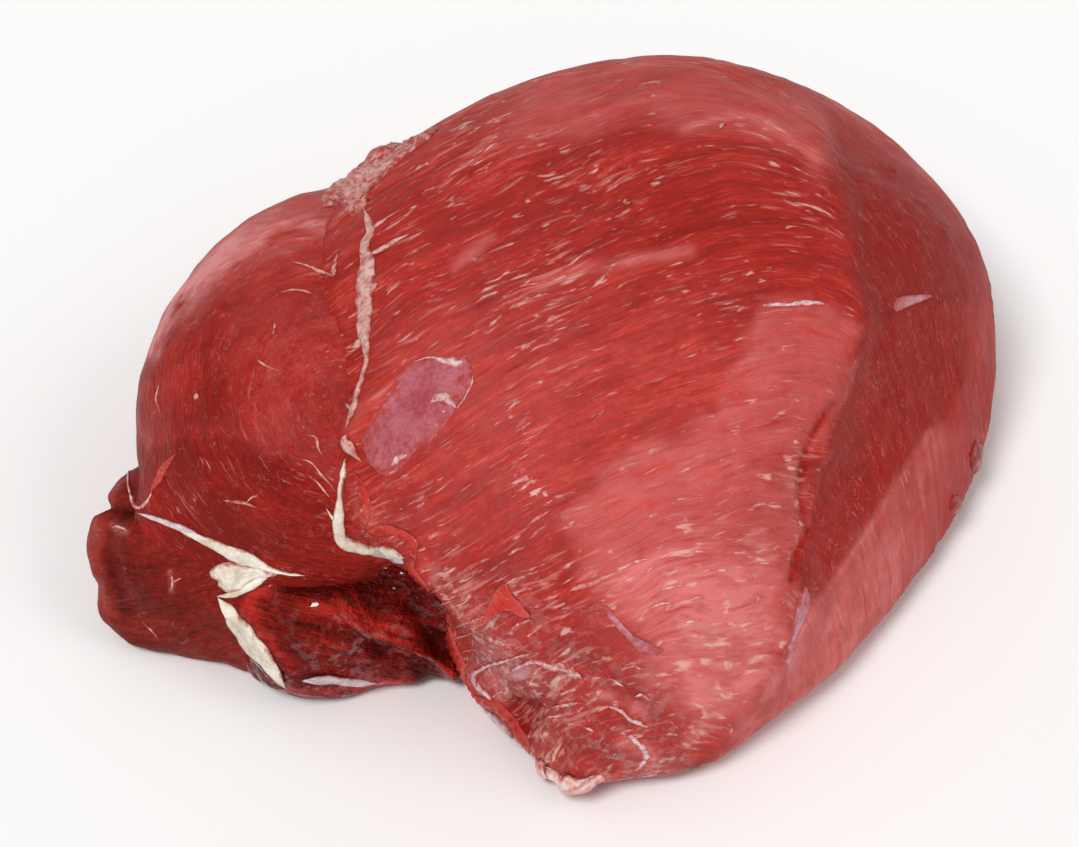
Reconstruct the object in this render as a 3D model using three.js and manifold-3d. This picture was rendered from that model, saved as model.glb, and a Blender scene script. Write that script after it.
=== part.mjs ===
// A whole trimmed beef topside, raw: five muscles grown together into one piece, lying on its flat side.
// Millimetres. X runs along the grain, Y from the cut front to the back, Z is up and the table is at z = 0.
//
// Each muscle is a lobe, the surface that one formula gives around its own centre:
//   flank(a)   smooth closed curve through the lobe's radii, equally spaced in angle
//   dome       ((flat distance / flank)^round + (height / rise or drop)^round)^(-1/round)
//   facets     planes that shave the dome; the table is one more plane, just under the centre's height
//   together   (dome^-edge + sum of facets^-edge)^(-1/edge), which rounds every meeting line; a high edge is sharp
// The lobes overlap deeply and are joined into one closed solid, and the creases between them are the seams.
import * as THREE from 'three';
import Module from 'manifold-3d';

const wasm = await Module();
wasm.setup();

// Driving dimensions of the lobes. radii start at firstAngle and go anticlockwise in equal steps, in degrees.
// A facet is the direction of its plane, as turn from +X and tilt above level, and its distance from the centre.
const muscles = {
  broad: {                       // the large dome that makes up most of the joint
    centre: [35, -3, 66], rise: 90, drop: 120, round: 2.5,
    firstAngle: 0, radii: [145, 156, 152, 142, 138, 142, 134, 144.5, 141.5, 133.5, 133, 140],
    facets: [
      { turn: -50, tilt: 14, distance: 99 },      // the steep right front
      { turn: 10, tilt: 34, distance: 140 },      // the shoulder above it
      { turn: 208, tilt: -28, distance: 120 },    // the undercut over the pocket
    ],
    edge: 14, rings: 40, steps: 48,
  },
  side: {                        // the lower muscle along the left of the broad one
    centre: [-90, 22, 55], rise: 68, drop: 100, round: 2.5,
    firstAngle: 0, radii: [95, 106.5, 111, 93.5, 74.5, 68, 66.5, 70, 72, 72, 76, 80],
    facets: [], edge: 9, rings: 28, steps: 36,
  },
  end: {                         // the dark lobe at the left front, under the side muscle
    centre: [-128, -4, 28], rise: 38, drop: 60, round: 2.6,
    firstAngle: 0, radii: [60, 54, 50, 50, 51.5, 54.5, 51.5, 36.5, 32.5, 41, 51.5, 56],
    facets: [], edge: 9, rings: 20, steps: 28,
  },
  inner: {                       // the muscle that shows in the pocket between the end lobe and the corner
    centre: [-82, -13, 30], rise: 34, drop: 60, round: 2.6,
    firstAngle: 18, radii: [50, 50, 50, 50, 50, 50, 59.5, 63.5, 52, 58, 56, 50],
    facets: [], edge: 9, rings: 20, steps: 28,
  },
  corner: {                      // the broad muscle's flap, drawn out to a corner on the table
    centre: [2, -58, 44], rise: 80, drop: 80, round: 2.7,
    firstAngle: 9, radii: [76.5, 74, 72, 72, 72, 72, 78, 84, 86.5, 91, 94, 84.5, 81, 81, 82, 77.5],
    facets: [
      { turn: 203, tilt: 14, distance: 60 },      // the flap's steep face over the pocket
      { turn: 199, tilt: -31, distance: 75 },     // the undercut below that face
      { turn: 169, tilt: -13, distance: 67 },     // the same undercut, further back
    ],
    edge: 18, rings: 28, steps: 36,
  },
  saddle: {                      // the loose tissue that fills the notch between the muscles at the back
    centre: [-31, 95, 70], rise: 36, drop: 60, round: 2.2,
    firstAngle: 0, radii: [44, 40, 41.5, 42.5, 30.5, 39.5, 34, 36, 40, 40, 40, 42],
    facets: [], edge: 9, rings: 16, steps: 20,
  },
};

const tablePower = 7;            // how tightly the flank turns under onto the table
const tableSink = 3;             // the table's plane lies this far below zero, and the shape is then cut at zero

const beefRed = new THREE.MeshStandardMaterial({ name: 'raw beef', color: 0xa83a32, roughness: 0.45, metalness: 0 });

const radians = THREE.MathUtils.degToRad;

// Flank radius at an angle: a closed Catmull-Rom curve through equally spaced radii.
function flankRadius(angle, { radii, firstAngle }) {
  const count = radii.length;
  const place = THREE.MathUtils.euclideanModulo(angle - radians(firstAngle), 2 * Math.PI) / (2 * Math.PI) * count;
  const knot = Math.floor(place);
  const at = (offset) => radii[(knot + offset + count) % count];
  const curve = new THREE.CubicBezierCurve(
    new THREE.Vector2(0, at(0)),
    new THREE.Vector2(1 / 3, at(0) + (at(1) - at(-1)) / 6),
    new THREE.Vector2(2 / 3, at(1) - (at(2) - at(0)) / 6),
    new THREE.Vector2(1, at(1)),
  );
  return curve.getPoint(place - knot).y;
}

const facetNormal = ({ turn, tilt }) => new THREE.Vector3(
  Math.cos(radians(turn)) * Math.cos(radians(tilt)),
  Math.sin(radians(turn)) * Math.cos(radians(tilt)),
  Math.sin(radians(tilt)),
);

// Distance from the lobe's centre to its surface along a unit direction.
function lobeRadius(direction, lobe) {
  const flank = flankRadius(Math.atan2(direction.y, direction.x), lobe);
  const height = direction.z > 0 ? lobe.rise : lobe.drop;
  const level = Math.hypot(direction.x, direction.y);
  const dome = ((level / flank) ** lobe.round + (Math.abs(direction.z) / height) ** lobe.round) ** (-1 / lobe.round);
  const shaved = lobe.facets.reduce(
    (sum, facet) => sum + (Math.max(0, direction.dot(facetNormal(facet))) / facet.distance) ** lobe.edge,
    dome ** -lobe.edge,
  ) ** (-1 / lobe.edge);
  const table = Math.max(0, -direction.z) / (lobe.centre[2] + tableSink);
  return (shaved ** -tablePower + table ** tablePower) ** (-1 / tablePower);
}

// Closed solid of a lobe: rings of points round the Y axis, from the front pole to the back pole.
function lobeSolid(lobe) {
  const { rings, steps, centre } = lobe;
  const points = [];
  const addPoint = (direction) => {
    const point = direction.clone().multiplyScalar(lobeRadius(direction, lobe)).add(new THREE.Vector3(...centre));
    points.push(point.x, point.y, Math.max(0, point.z));
  };
  addPoint(new THREE.Vector3(0, -1, 0));
  for (let ring = 1; ring < rings; ring += 1) {
    const lean = Math.PI * ring / rings;
    for (let step = 0; step < steps; step += 1) {
      const round = 2 * Math.PI * step / steps;
      addPoint(new THREE.Vector3(
        Math.sin(lean) * Math.cos(round), -Math.cos(lean), Math.sin(lean) * Math.sin(round),
      ));
    }
  }
  addPoint(new THREE.Vector3(0, 1, 0));

  const backPole = 1 + (rings - 1) * steps;
  const triangles = [];
  for (let step = 0; step < steps; step += 1) {
    const next = (step + 1) % steps;
    triangles.push(0, 1 + step, 1 + next);
    for (let ring = 0; ring < rings - 2; ring += 1) {
      const near = 1 + ring * steps;
      const far = near + steps;
      triangles.push(near + step, far + step, far + next);
      triangles.push(near + step, far + next, near + next);
    }
    triangles.push(backPole, backPole - steps + next, backPole - steps + step);
  }
  return new wasm.Manifold(new wasm.Mesh({
    numProp: 3, vertProperties: new Float32Array(points), triVerts: new Uint32Array(triangles),
  }));
}

// The whole joint, moved level so that the origin is at the middle of its outer box, on the table.
function joinedBeef() {
  const solid = Object.values(muscles).map(lobeSolid).reduce((joined, lobe) => joined.add(lobe));
  const { vertProperties, triVerts } = solid.getMesh();
  const geometry = new THREE.BufferGeometry();
  geometry.setAttribute('position', new THREE.BufferAttribute(new Float32Array(vertProperties), 3));
  geometry.setIndex(new THREE.BufferAttribute(new Uint32Array(triVerts), 1));
  geometry.computeBoundingBox();
  const middle = geometry.boundingBox.getCenter(new THREE.Vector3());
  geometry.translate(-middle.x, -middle.y, 0);
  geometry.computeVertexNormals();
  return geometry;
}

const topside = new THREE.Mesh(joinedBeef(), beefRed);
topside.name = 'beef_topside';

const part = new THREE.Group();
part.add(topside);

export default part;
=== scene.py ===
from functools import partial
import bpy
import numpy as np
from mathutils import Matrix


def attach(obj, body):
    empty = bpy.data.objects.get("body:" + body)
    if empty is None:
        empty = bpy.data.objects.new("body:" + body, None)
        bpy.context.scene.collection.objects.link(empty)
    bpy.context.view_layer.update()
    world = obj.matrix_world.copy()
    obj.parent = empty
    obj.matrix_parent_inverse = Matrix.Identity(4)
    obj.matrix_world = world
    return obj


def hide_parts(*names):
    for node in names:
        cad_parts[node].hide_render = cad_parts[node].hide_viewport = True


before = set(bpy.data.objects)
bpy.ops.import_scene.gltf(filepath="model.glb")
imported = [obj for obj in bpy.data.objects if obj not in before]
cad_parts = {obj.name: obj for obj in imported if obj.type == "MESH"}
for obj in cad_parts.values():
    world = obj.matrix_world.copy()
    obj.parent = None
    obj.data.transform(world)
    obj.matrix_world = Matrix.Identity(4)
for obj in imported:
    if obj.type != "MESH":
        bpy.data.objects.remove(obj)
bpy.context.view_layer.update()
print("frame loaded")

mm = 0.001                      # every shape below is worked out in millimetres and stored in metres
up = np.array([0.0, 0.0, 1.0])


def unit(v):
    return v / np.maximum(np.linalg.norm(v, axis=-1, keepdims=True), 1e-12)


def ease(low, high, x):
    # smooth step: 0 below low, 1 above high
    t = np.clip((x - low) / (high - low), 0, 1)
    return t * t * (3 - 2 * t)


def bearing(turn, tilt):
    # unit direction turned from +X and tilted above level, in degrees
    a, e = np.radians(turn), np.radians(tilt)
    return np.array([np.cos(a) * np.cos(e), np.sin(a) * np.cos(e), np.sin(e)])


def valueNoise(p, seed=0):
    # smooth random field: a hashed value at each corner of the unit cell, blended by a quintic, from -1 to
    # 1
    cell = np.floor(p).astype(np.int64)
    f = p - cell
    f = f * f * f * (f * (f * 6 - 15) + 10)
    total = np.zeros(p.shape[:-1])
    for corner in range(8):
        o = np.array([corner & 1, corner >> 1 & 1, corner >> 2 & 1])
        q = cell + o
        h = q[..., 0] * 374761393 + q[..., 1] * 668265263 + q[..., 2] * 1440662683 + seed * 97531
        h &= 0xffffffff
        h = ((h ^ (h >> 13)) * 1274126177) & 0xffffffff
        h = ((h ^ (h >> 16)) * 2246822519) & 0xffffffff
        weight = np.prod(np.where(o == 1, f, 1 - f), axis=-1)
        total += weight * ((h >> 8 & 0xffff) / 32767.5 - 1)
    return total


def linear(hexColour):
    # sRGB hex to linear RGBA
    c = np.array([int(hexColour[i:i + 2], 16) for i in (1, 3, 5)]) / 255
    c = np.where(c <= 0.04045, c / 12.92, ((c + 0.055) / 1.055) ** 2.4)
    return (*c, 1.0)


def smoothUnion(a, b, width):
    # the larger of two radii, with the crease between them filled over the given width
    return (a + b + np.sqrt((a - b) ** 2 + width ** 2)) / 2


def curveThrough(stops, count):
    # Catmull-Rom curve through the stops, sampled at equal steps of its own length
    s = np.asarray(stops, float)
    s = np.concatenate([[2 * s[0] - s[1]], s, [2 * s[-1] - s[-2]]])
    place = np.linspace(0, len(s) - 3 - 1e-9, 24 * len(s))
    k = place.astype(int)
    t = (place - k)[:, None]
    a, b, c, d = s[k], s[k + 1], s[k + 2], s[k + 3]
    dense = b + 0.5 * t * (c - a + t * (2 * a - 5 * b + 4 * c - d + t * (3 * (b - c) + d - a)))
    length = np.concatenate([[0], np.cumsum(np.linalg.norm(np.diff(dense[:, :2], axis=0), axis=1))])
    wanted = np.linspace(0, length[-1], count)
    return np.stack([np.interp(wanted, length, dense[:, i]) for i in range(dense.shape[1])], 1), length[-1]


def placing(axes, origin):
    # matrix that turns an object to the axes, given as columns, and moves it to the origin
    return Matrix([[*row, p] for row, p in zip(axes, origin)] + [[0, 0, 0, 1]])


photo = {"width": 1079, "height": 847}
view = {"turn": -18, "tilt": 48, "distance": 1600, "mmPerPixel": 0.375, "target": (-10, -8, 70),
        "sensor": 36}

back = -bearing(90 + view["turn"], -view["tilt"])          # from the target towards the eye
right = unit(np.cross(up, back))
above = np.cross(back, right)
eye = np.array(view["target"]) + back * view["distance"]
focal = view["distance"] / view["mmPerPixel"]              # in pixels of the photo

cameraData = bpy.data.cameras.new("camera")
cameraData.sensor_width = view["sensor"]
cameraData.lens = view["sensor"] * focal / photo["width"]
camera = bpy.data.objects.new("camera", cameraData)
camera.matrix_world = placing(np.stack([right, above, back], 1), eye * mm)
bpy.context.scene.collection.objects.link(camera)
bpy.context.scene.camera = camera


def sightLine(pixels):
    # unit directions from the eye through pixels of the photo
    p = np.asarray(pixels, float)
    x = (p[..., 0] - photo["width"] / 2) / focal
    y = (photo["height"] / 2 - p[..., 1]) / focal
    return unit(x[..., None] * right + y[..., None] * above - back)


def pixelOf(points):
    # where points of the object show in the photo
    o = points - eye
    depth = -(o @ back)
    return np.stack([photo["width"] / 2 + focal * (o @ right) / depth,
                     photo["height"] / 2 - focal * (o @ above) / depth], -1)


def offPath(pixels, path):
    # distance in mm from a path of pixels, and the same with a sign: above 0 on the path's right-hand side
    path = np.asarray(path, float)
    nearest = np.full(pixels.shape[:-1], 1e9)
    signed = np.full(pixels.shape[:-1], 1e9)
    for a, b in zip(path[:-1], path[1:]):
        run = b - a
        t = np.clip((pixels - a) @ run / (run @ run), 0, 1)
        gap = pixels - a - t[..., None] * run
        size = np.linalg.norm(gap, axis=-1)
        turn = run[0] * gap[..., 1] - run[1] * gap[..., 0]
        closer = size < nearest
        signed = np.where(closer, np.where(turn < 0, size, -size), signed)
        nearest = np.where(closer, size, nearest)
    return nearest * view["mmPerPixel"], signed * view["mmPerPixel"]


def insideOutline(pixels, outline):
    # signed distance in mm to a closed outline of pixels, above 0 inside
    ring = np.asarray([*outline, outline[0]], float)
    nearest = offPath(pixels, ring)[0]
    odd = np.zeros(pixels.shape[:-1], bool)
    for a, b in zip(ring[:-1], ring[1:]):
        spans = (a[1] > pixels[..., 1]) != (b[1] > pixels[..., 1])
        rise = b[1] - a[1] if b[1] != a[1] else 1e-9
        odd ^= spans & (pixels[..., 0] < a[0] + (b[0] - a[0]) * (pixels[..., 1] - a[1]) / rise)
    return np.where(odd, nearest, -nearest)


# how tightly a lobe turns under onto the table, and how far the table lies below zero
tablePower, tableSink = 7, 3

# The muscles are the lobes of the CAD source: radii at equal steps of angle, a dome, facets and the table.
# The radii were first given, then moved by a least-squares fit to the photo's outline and rounded to 0.5
# mm.
lobes = {
    "broad": {
        "centre": (35, -3, 66), "rise": 90, "drop": 120, "round": 2.5, "edge": 14,
        "firstAngle": 0, "radii": (145, 156, 152, 142, 138, 142, 134, 144.5, 141.5, 133.5, 133, 140),
        "facets": ((-50, 14, 99), (10, 34, 140), (208, -28, 120)),
    },
    "corner": {
        "centre": (2, -58, 44), "rise": 80, "drop": 80, "round": 2.7, "edge": 18,
        "firstAngle": 9, "radii": (76.5, 74, 72, 72, 72, 72, 78, 84, 86.5, 91, 94, 84.5, 81, 81, 82, 77.5),
        "facets": ((203, 14, 60), (199, -31, 75), (169, -13, 67)),
    },
    "side": {
        "centre": (-90, 22, 55), "rise": 68, "drop": 100, "round": 2.5, "edge": 9,
        "firstAngle": 0, "radii": (95, 106.5, 111, 93.5, 74.5, 68, 66.5, 70, 72, 72, 76, 80),
        "facets": (),
    },
    "end": {
        "centre": (-128, -4, 28), "rise": 38, "drop": 60, "round": 2.6, "edge": 9,
        "firstAngle": 0, "radii": (60, 54, 50, 50, 51.5, 54.5, 51.5, 36.5, 32.5, 41, 51.5, 56),
        "facets": (),
    },
    "inner": {
        "centre": (-82, -13, 30), "rise": 34, "drop": 60, "round": 2.6, "edge": 9,
        "firstAngle": 18, "radii": (50, 50, 50, 50, 50, 50, 59.5, 63.5, 52, 58, 56, 50),
        "facets": (),
    },
    "saddle": {
        "centre": (-31, 95, 70), "rise": 36, "drop": 60, "round": 2.2, "edge": 9,
        "firstAngle": 0, "radii": (44, 40, 41.5, 42.5, 30.5, 39.5, 34, 36, 40, 40, 40, 42),
        "facets": (),
    },
}


def flankRadius(angle, lobe):
    # closed Catmull-Rom curve through the radii, which are equally spaced in angle
    radii = np.array(lobe["radii"], float)
    count = len(radii)
    place = np.mod(np.degrees(angle) - lobe["firstAngle"], 360) / 360 * count
    knot = np.floor(place).astype(int)
    t = place - knot
    a, b, c, d = (radii[(knot + k) % count] for k in (-1, 0, 1, 2))
    return b + 0.5 * t * (c - a + t * (2 * a - 5 * b + 4 * c - d + t * (3 * (b - c) + d - a)))


def lobeRadius(d, lobe):
    # superellipse of level distance over flank radius and height over rise or drop,
    # shaved by the facets and the table through a power mean that rounds the meeting lines
    flank = flankRadius(np.arctan2(d[..., 1], d[..., 0]), lobe)
    height = np.where(d[..., 2] > 0, lobe["rise"], lobe["drop"])
    level = np.hypot(d[..., 0], d[..., 1])
    q, edge = lobe["round"], lobe["edge"]
    dome = ((level / flank) ** q + (np.abs(d[..., 2]) / height) ** q) ** (-1 / q)
    if lobe["facets"]:
        shaved = (dome / 100) ** -edge
        for turn, tilt, distance in lobe["facets"]:
            shaved = shaved + (np.maximum(0, d @ bearing(turn, tilt)) / distance * 100) ** edge
        dome = 100 * shaved ** (-1 / edge)
    table = np.maximum(0, -d[..., 2]) / (lobe["centre"][2] + tableSink)
    return (dome ** -tablePower + table ** tablePower) ** (-1 / tablePower)


def reachThrough(origin, d, lobe, far=230, samples=20, halvings=10):
    # distance from origin along d to the last crossing of the lobe's surface, or 0 where it is missed
    centre = np.array(lobe["centre"], float)

    def inside(t):
        offset = origin + d * t[..., None] - centre
        size = np.linalg.norm(offset, axis=-1)
        return size < lobeRadius(offset / np.maximum(size, 1e-6)[..., None], lobe)

    last = np.zeros(d.shape[:-1])
    for t in np.linspace(1, far, samples):
        last = np.where(inside(np.full(last.shape, t)), t, last)
    low, high = last, last + far / (samples - 1) * 1.02
    for _ in range(halvings):
        middle = (low + high) / 2
        hit = inside(middle)
        low, high = np.where(hit, middle, low), np.where(hit, high, middle)
    return np.where(last > 0, low, 0)


def grainFrame(axis):
    # along the fibres, across the sheets, and the third way, as rows
    along = unit(np.cross(np.cross(axis, np.array([1.0, 0, 0])), axis))
    return np.stack([along, axis, np.cross(along, axis)])


mmPerRadian = 60                # place along sheets that go around a pixel


def sheetPlace(p, muscle, wander=3.0):
    # place among the fibre sheets, in mm: along the fibres, across the sheets, and the third way; each bend
    # adds slope times the soft ramp log(1 + exp(past / soft)) to the place across, and slow noise makes it
    # wander; sheets that go around a pixel have their place across as the distance from it, and along as
    # the turn times mmPerRadian
    q = p @ grainFrame(muscle["grain"]).T
    if "around" in muscle:
        spoke = (pixelOf(p) - np.array(muscle["around"])) * view["mmPerPixel"]
        # jumps to the right of the pixel, which is hidden
        turn = np.arctan2(spoke[..., 1], -spoke[..., 0])
        q = np.stack([mmPerRadian * turn, np.linalg.norm(spoke, axis=-1), p @ back], -1)
    for bend in muscle.get("bends", ()):
        past = (p @ np.array(bend["toward"], float) - bend["start"]) / bend["soft"]
        q[..., 1] += bend["slope"] * bend["soft"] * np.logaddexp(0, past)
    slow, quick = valueNoise(p / 70, muscle["seed"] + 50), valueNoise(p / 18, muscle["seed"] + 51)
    q[..., 1] += wander * slow + 0.4 * wander * quick
    return q


def sheetNoise(q, longMm, acrossMm, seed):
    # noise drawn out along the fibre sheets: long cells in the sheet, short cells across it
    return valueNoise(q / np.array([longMm, acrossMm, longMm]), seed)


furrowWidth = 0.22              # a furrow lies where the sheets' noise is nearer to 0 than about this


def muscleRadius(d, muscle, fine=True):
    # radius of the muscle in direction d from its centre: the lobe, a joined lobe, lumps, swellings, the
    # creases drawn on it and, where fine, the furrows between the fibre bundles
    lobe = lobes[muscle["lobe"]]
    centre = np.array(lobe["centre"], float)
    r = lobeRadius(d, lobe)
    if "joined" in muscle:
        toward = unit(np.array(lobes[muscle["joined"]]["centre"], float) - centre)
        near = d @ toward > -0.1
        other = np.zeros(r.shape)
        other[near] = reachThrough(centre, d[near], lobes[muscle["joined"]])
        r = smoothUnion(r, other, muscle["crease"])
    p = centre + d * r[..., None]
    seed = muscle["seed"]
    relief = np.zeros(r.shape)
    for size, height in muscle["lumps"]:
        relief += height * valueNoise(p / size + seed, seed + int(size))
    for swell in muscle.get("swells", ()):
        away = np.linalg.norm(p - np.array(swell["place"]), axis=-1)
        relief += swell["height"] * np.exp(-(away / swell["reach"]) ** 2)
    pixels, front = pixelOf(p), ease(-0.3, 0.1, d @ back)
    for crease in muscle["creases"]:
        gap, signed = offPath(pixels, crease["path"])
        relief += crease["height"] * np.exp(-(gap / crease["width"]) ** 2) * front
        if "drop" in crease:
            begun, gone = ease(-3, 12, signed), ease(12, crease["reach"], signed)
            relief -= crease["drop"] * begun * (1 - gone) * front
    if fine:
        q = sheetPlace(p, muscle)
        for longMm, acrossMm, depth in muscle["furrows"]:
            sheets = sheetNoise(q, longMm, acrossMm, seed + int(acrossMm * 10))
            relief -= depth * np.exp(-(sheets / furrowWidth) ** 2)
        for longMm, acrossMm, height in muscle["grooves"]:
            relief += height * sheetNoise(q, longMm, acrossMm, seed + int(acrossMm * 10))
    return r + relief * ease(-0.95, -0.5, d[..., 2])


def musclePoints(d, muscle, fine=True):
    p = np.array(lobes[muscle["lobe"]]["centre"], float) + d * muscleRadius(d, muscle, fine)[..., None]
    p[..., 2] = np.maximum(p[..., 2], muscle["base"])
    return p


def sphereFaces(rings, steps):
    # quads between the rings and a fan of triangles at each pole
    i = 1 + np.arange(rings - 1)[:, None] * steps
    j = np.arange(steps)[None, :]
    k = (j + 1) % steps
    quads = np.stack([i + j, i + k, i + steps + k, i + steps + j], -1).reshape(-1, 4)
    tip = 1 + rings * steps
    j, k = j.ravel(), k.ravel()
    first = np.stack([np.zeros_like(j), 1 + k, 1 + j], 1)
    last = np.stack([np.full_like(j, tip), tip - steps + j, tip - steps + k], 1)
    return [*quads.tolist(), *first.tolist(), *last.tolist()]


def makeObject(name, points, faces, material, attributes=None):
    # mesh from arrays in millimetres, with one attribute for each named array: a number or a vector at each
    # point
    mesh = bpy.data.meshes.new(name)
    mesh.from_pydata((points * mm).tolist(), [], faces)
    for key, values in (attributes or {}).items():
        values = np.asarray(values, np.float32)
        kind, field = ("FLOAT", "value") if values.ndim == 1 else ("FLOAT_VECTOR", "vector")
        mesh.attributes.new(key, kind, "POINT").data.foreach_set(field, values.ravel())
    mesh.polygons.foreach_set("use_smooth", np.ones(len(mesh.polygons), bool))
    mesh.materials.append(material)
    mesh.update()
    piece = bpy.data.objects.new(name, mesh)
    bpy.context.scene.collection.objects.link(piece)
    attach(piece, "root")
    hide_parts("beef_topside")
    print(name, "made,", len(mesh.polygons), "faces")
    return piece


poleAxis = unit(np.array([0, 0.97, 0.235]))       # the poles of the muscles' meshes lie out of sight
polarSteps = 180                                  # steps of polar angle at which the grid is worked out


def grainGrid(muscle):
    # directions whose rings run roughly with the fibres: the polar angle from the axis of the poles is
    # chosen so that cos(angle) times the radius, the place along that axis, is one value on a whole ring
    # away from the poles; the steps round a ring are closer on top than underneath
    rings, steps = muscle["rings"], muscle["steps"]
    rows = grainFrame(poleAxis)
    lift = rows[2] * np.sign(rows[2][2])
    t = np.arange(steps) / steps
    beta = -np.pi / 2 + 2 * np.pi * (t + muscle["topShare"] * np.sin(2 * np.pi * t) / (2 * np.pi))
    around = np.cos(beta)[:, None] * rows[0] + np.sin(beta)[:, None] * lift
    alpha = np.linspace(0, np.pi, polarSteps + 1)
    d = np.cos(alpha)[:, None, None] * rows[1] + np.sin(alpha)[:, None, None] * around
    r = muscleRadius(d, muscle, fine=False)
    plain = (r[0, 0] + r[-1, 0]) / 2
    free = ease(0.25, 0.9, np.sin(alpha))[:, None]
    across = np.cos(alpha)[:, None] * (r * free + plain * (1 - free))
    across = np.minimum.accumulate(across - np.arange(polarSteps + 1)[:, None] * 1e-4, axis=0)
    top = steps // 2
    path = np.stack([r[:, top] * np.sin(alpha), across[:, top]], 1)
    length = np.concatenate([[0], np.cumsum(np.linalg.norm(np.diff(path, axis=0), axis=1))])
    wanted = np.interp(np.linspace(0, length[-1], rings + 2)[1:-1], length, across[:, top])
    angle = np.stack([np.interp(-wanted, -across[:, s], alpha) for s in range(steps)], 1)
    d = np.cos(angle)[..., None] * rows[1] + np.sin(angle)[..., None] * around
    return np.concatenate([[rows[1]], d.reshape(-1, 3), [-rows[1]]])


toneNames = ("filmAndSheen", "skin", "shade", "wet", "plain", "rich", "calm")


def areaTones(points, outward, muscle):
    # Amounts at each point of thin film, which on some rims is painted sheen, of film with a sharp edge, of
    # lighter or darker colour, which in some creases, hollows and faces is painted shade, of wetness, of
    # lack of marbling, of rich marbling and of even colour. Every area adds its amounts inside its wavy
    # outline
    # of pixels, and every band along its path, on the side that the photo shows; every spot adds its own
    # round a place in millimetres.
    tones = {key: np.full(len(points), muscle["start"].get(key, 0.0)) for key in toneNames}
    pixels, front = pixelOf(points), ease(-0.25, 0.15, outward @ back)
    waves = 3 * valueNoise(points / 16, 71) + 1.4 * valueNoise(points / 6, 72)
    shares = []
    for area in muscle["areas"]:
        outline = curveThrough([*area["outline"], area["outline"][0]], 3 * len(area["outline"]))[0][:-1]
        depth = insideOutline(pixels, outline) + waves * area.get("wavy", 1)
        shares.append((area, ease(-area["soft"], area["soft"], depth) * front))
    for band in muscle.get("bands", ()):
        gap = offPath(pixels, curveThrough(band["path"], 4 * len(band["path"]))[0])[0]
        patchy = 1 + 0.5 * valueNoise(points / 7, 73)
        shares.append((band, np.exp(-(gap / band["width"]) ** 2) * patchy * front))
    for spot in muscle["spots"]:
        away = np.linalg.norm(points - np.array(spot["place"]), axis=1)
        shares.append((spot, np.exp(-(away / spot["reach"]) ** 2)))
    for item, share in shares:
        for key in tones:
            if key in item:
                tones[key] += item[key] * share
    return tones


def makeMuscle(name, muscle, material):
    # one muscle's surface, with its tones and its place among the fibre sheets as attributes
    d = grainGrid(muscle)
    points = musclePoints(d, muscle)
    return makeObject(name, points, sphereFaces(muscle["rings"], muscle["steps"]), material,
                      {**areaTones(points, d, muscle), "grain": sheetPlace(points, muscle)})


tablePolar, tableTurn = 240, 480          # steps of the radius table from pole to pole and round


def radiusTable(muscle):
    polar = np.linspace(0, np.pi, tablePolar + 1)[:, None]
    turn = np.linspace(0, 2 * np.pi, tableTurn + 1)[None, :]
    d = np.stack([np.sin(polar) * np.cos(turn), np.sin(polar) * np.sin(turn), np.cos(polar) + 0 * turn], -1)
    return muscleRadius(d, muscle, fine=False)


def heightOverOne(points, muscle):
    # how far points stand outside the muscle, along the line from its centre
    o = points - np.array(lobes[muscle["lobe"]]["centre"], float)
    size = np.linalg.norm(o, axis=-1)
    table = muscle["table"]
    v = np.arccos(np.clip(o[..., 2] / np.maximum(size, 1e-6), -1, 1)) / np.pi * tablePolar
    u = np.mod(np.arctan2(o[..., 1], o[..., 0]), 2 * np.pi) / (2 * np.pi) * tableTurn
    i, j = np.minimum(v.astype(int), tablePolar - 1), np.minimum(u.astype(int), tableTurn - 1)
    s, t = v - i, u - j
    r = ((table[i, j] * (1 - t) + table[i, j + 1] * t) * (1 - s)
         + (table[i + 1, j] * (1 - t) + table[i + 1, j + 1] * t) * s)
    return size - r


def heightOver(points, names):
    # height over the nearest of the named muscles
    return np.min([heightOverOne(points, muscles[name]) for name in names], axis=0)


def outwardAt(points, names, step=2.0):
    # outward direction of the surface, from differences of the height over it
    slope = [heightOver(points + step * axis, names) - heightOver(points - step * axis, names)
             for axis in np.eye(3)]
    return unit(np.stack(slope, -1))


sightReach = 190                          # mm searched before and behind the view's target
sightSteps, sightHalvings = 96, 12


def meet(pixels, names):
    # first point where the line of sight through each pixel meets one of the named muscles;
    # a line that misses takes the surface point that it passes closest to
    d = sightLine(pixels)
    steps = np.linspace(view["distance"] - sightReach, view["distance"] + sightReach, sightSteps)
    gaps = np.stack([heightOver(eye + d * t, names) for t in steps])
    inside = gaps < 0
    first = np.argmax(inside, axis=0)
    low, high = steps[np.maximum(first - 1, 0)], steps[first]
    for _ in range(sightHalvings):
        middle = (low + high) / 2
        hit = heightOver(eye + d * middle[..., None], names) < 0
        low, high = np.where(hit, low, middle), np.where(hit, middle, high)
    missed = ~inside.any(axis=0)
    points = eye + d * np.where(missed, steps[np.argmin(gaps, axis=0)], high)[..., None]
    if missed.any():
        astray = points[missed]
        points[missed] = astray - outwardAt(astray, names) * heightOver(astray, names)[..., None]
    return points


def tubeFaces(rows, columns, start=0):
    # quads of a tube: rows along it, columns round it, and a fan that closes each end on one point
    i, j = np.arange(rows - 1)[:, None] * columns + start, np.arange(columns)[None, :]
    k = (j + 1) % columns
    quads = np.stack([i + j, i + k, i + columns + k, i + columns + j], -1).reshape(-1, 4)
    j, k = j.ravel(), k.ravel()
    first, last = start + rows * columns, start + rows * columns + 1
    foot = start + (rows - 1) * columns
    head = np.stack([np.full_like(j, first), start + k, start + j], 1)
    tail = np.stack([np.full_like(j, last), foot + j, foot + k], 1)
    return [*quads.tolist(), *head.tolist(), *tail.tolist()]


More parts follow.
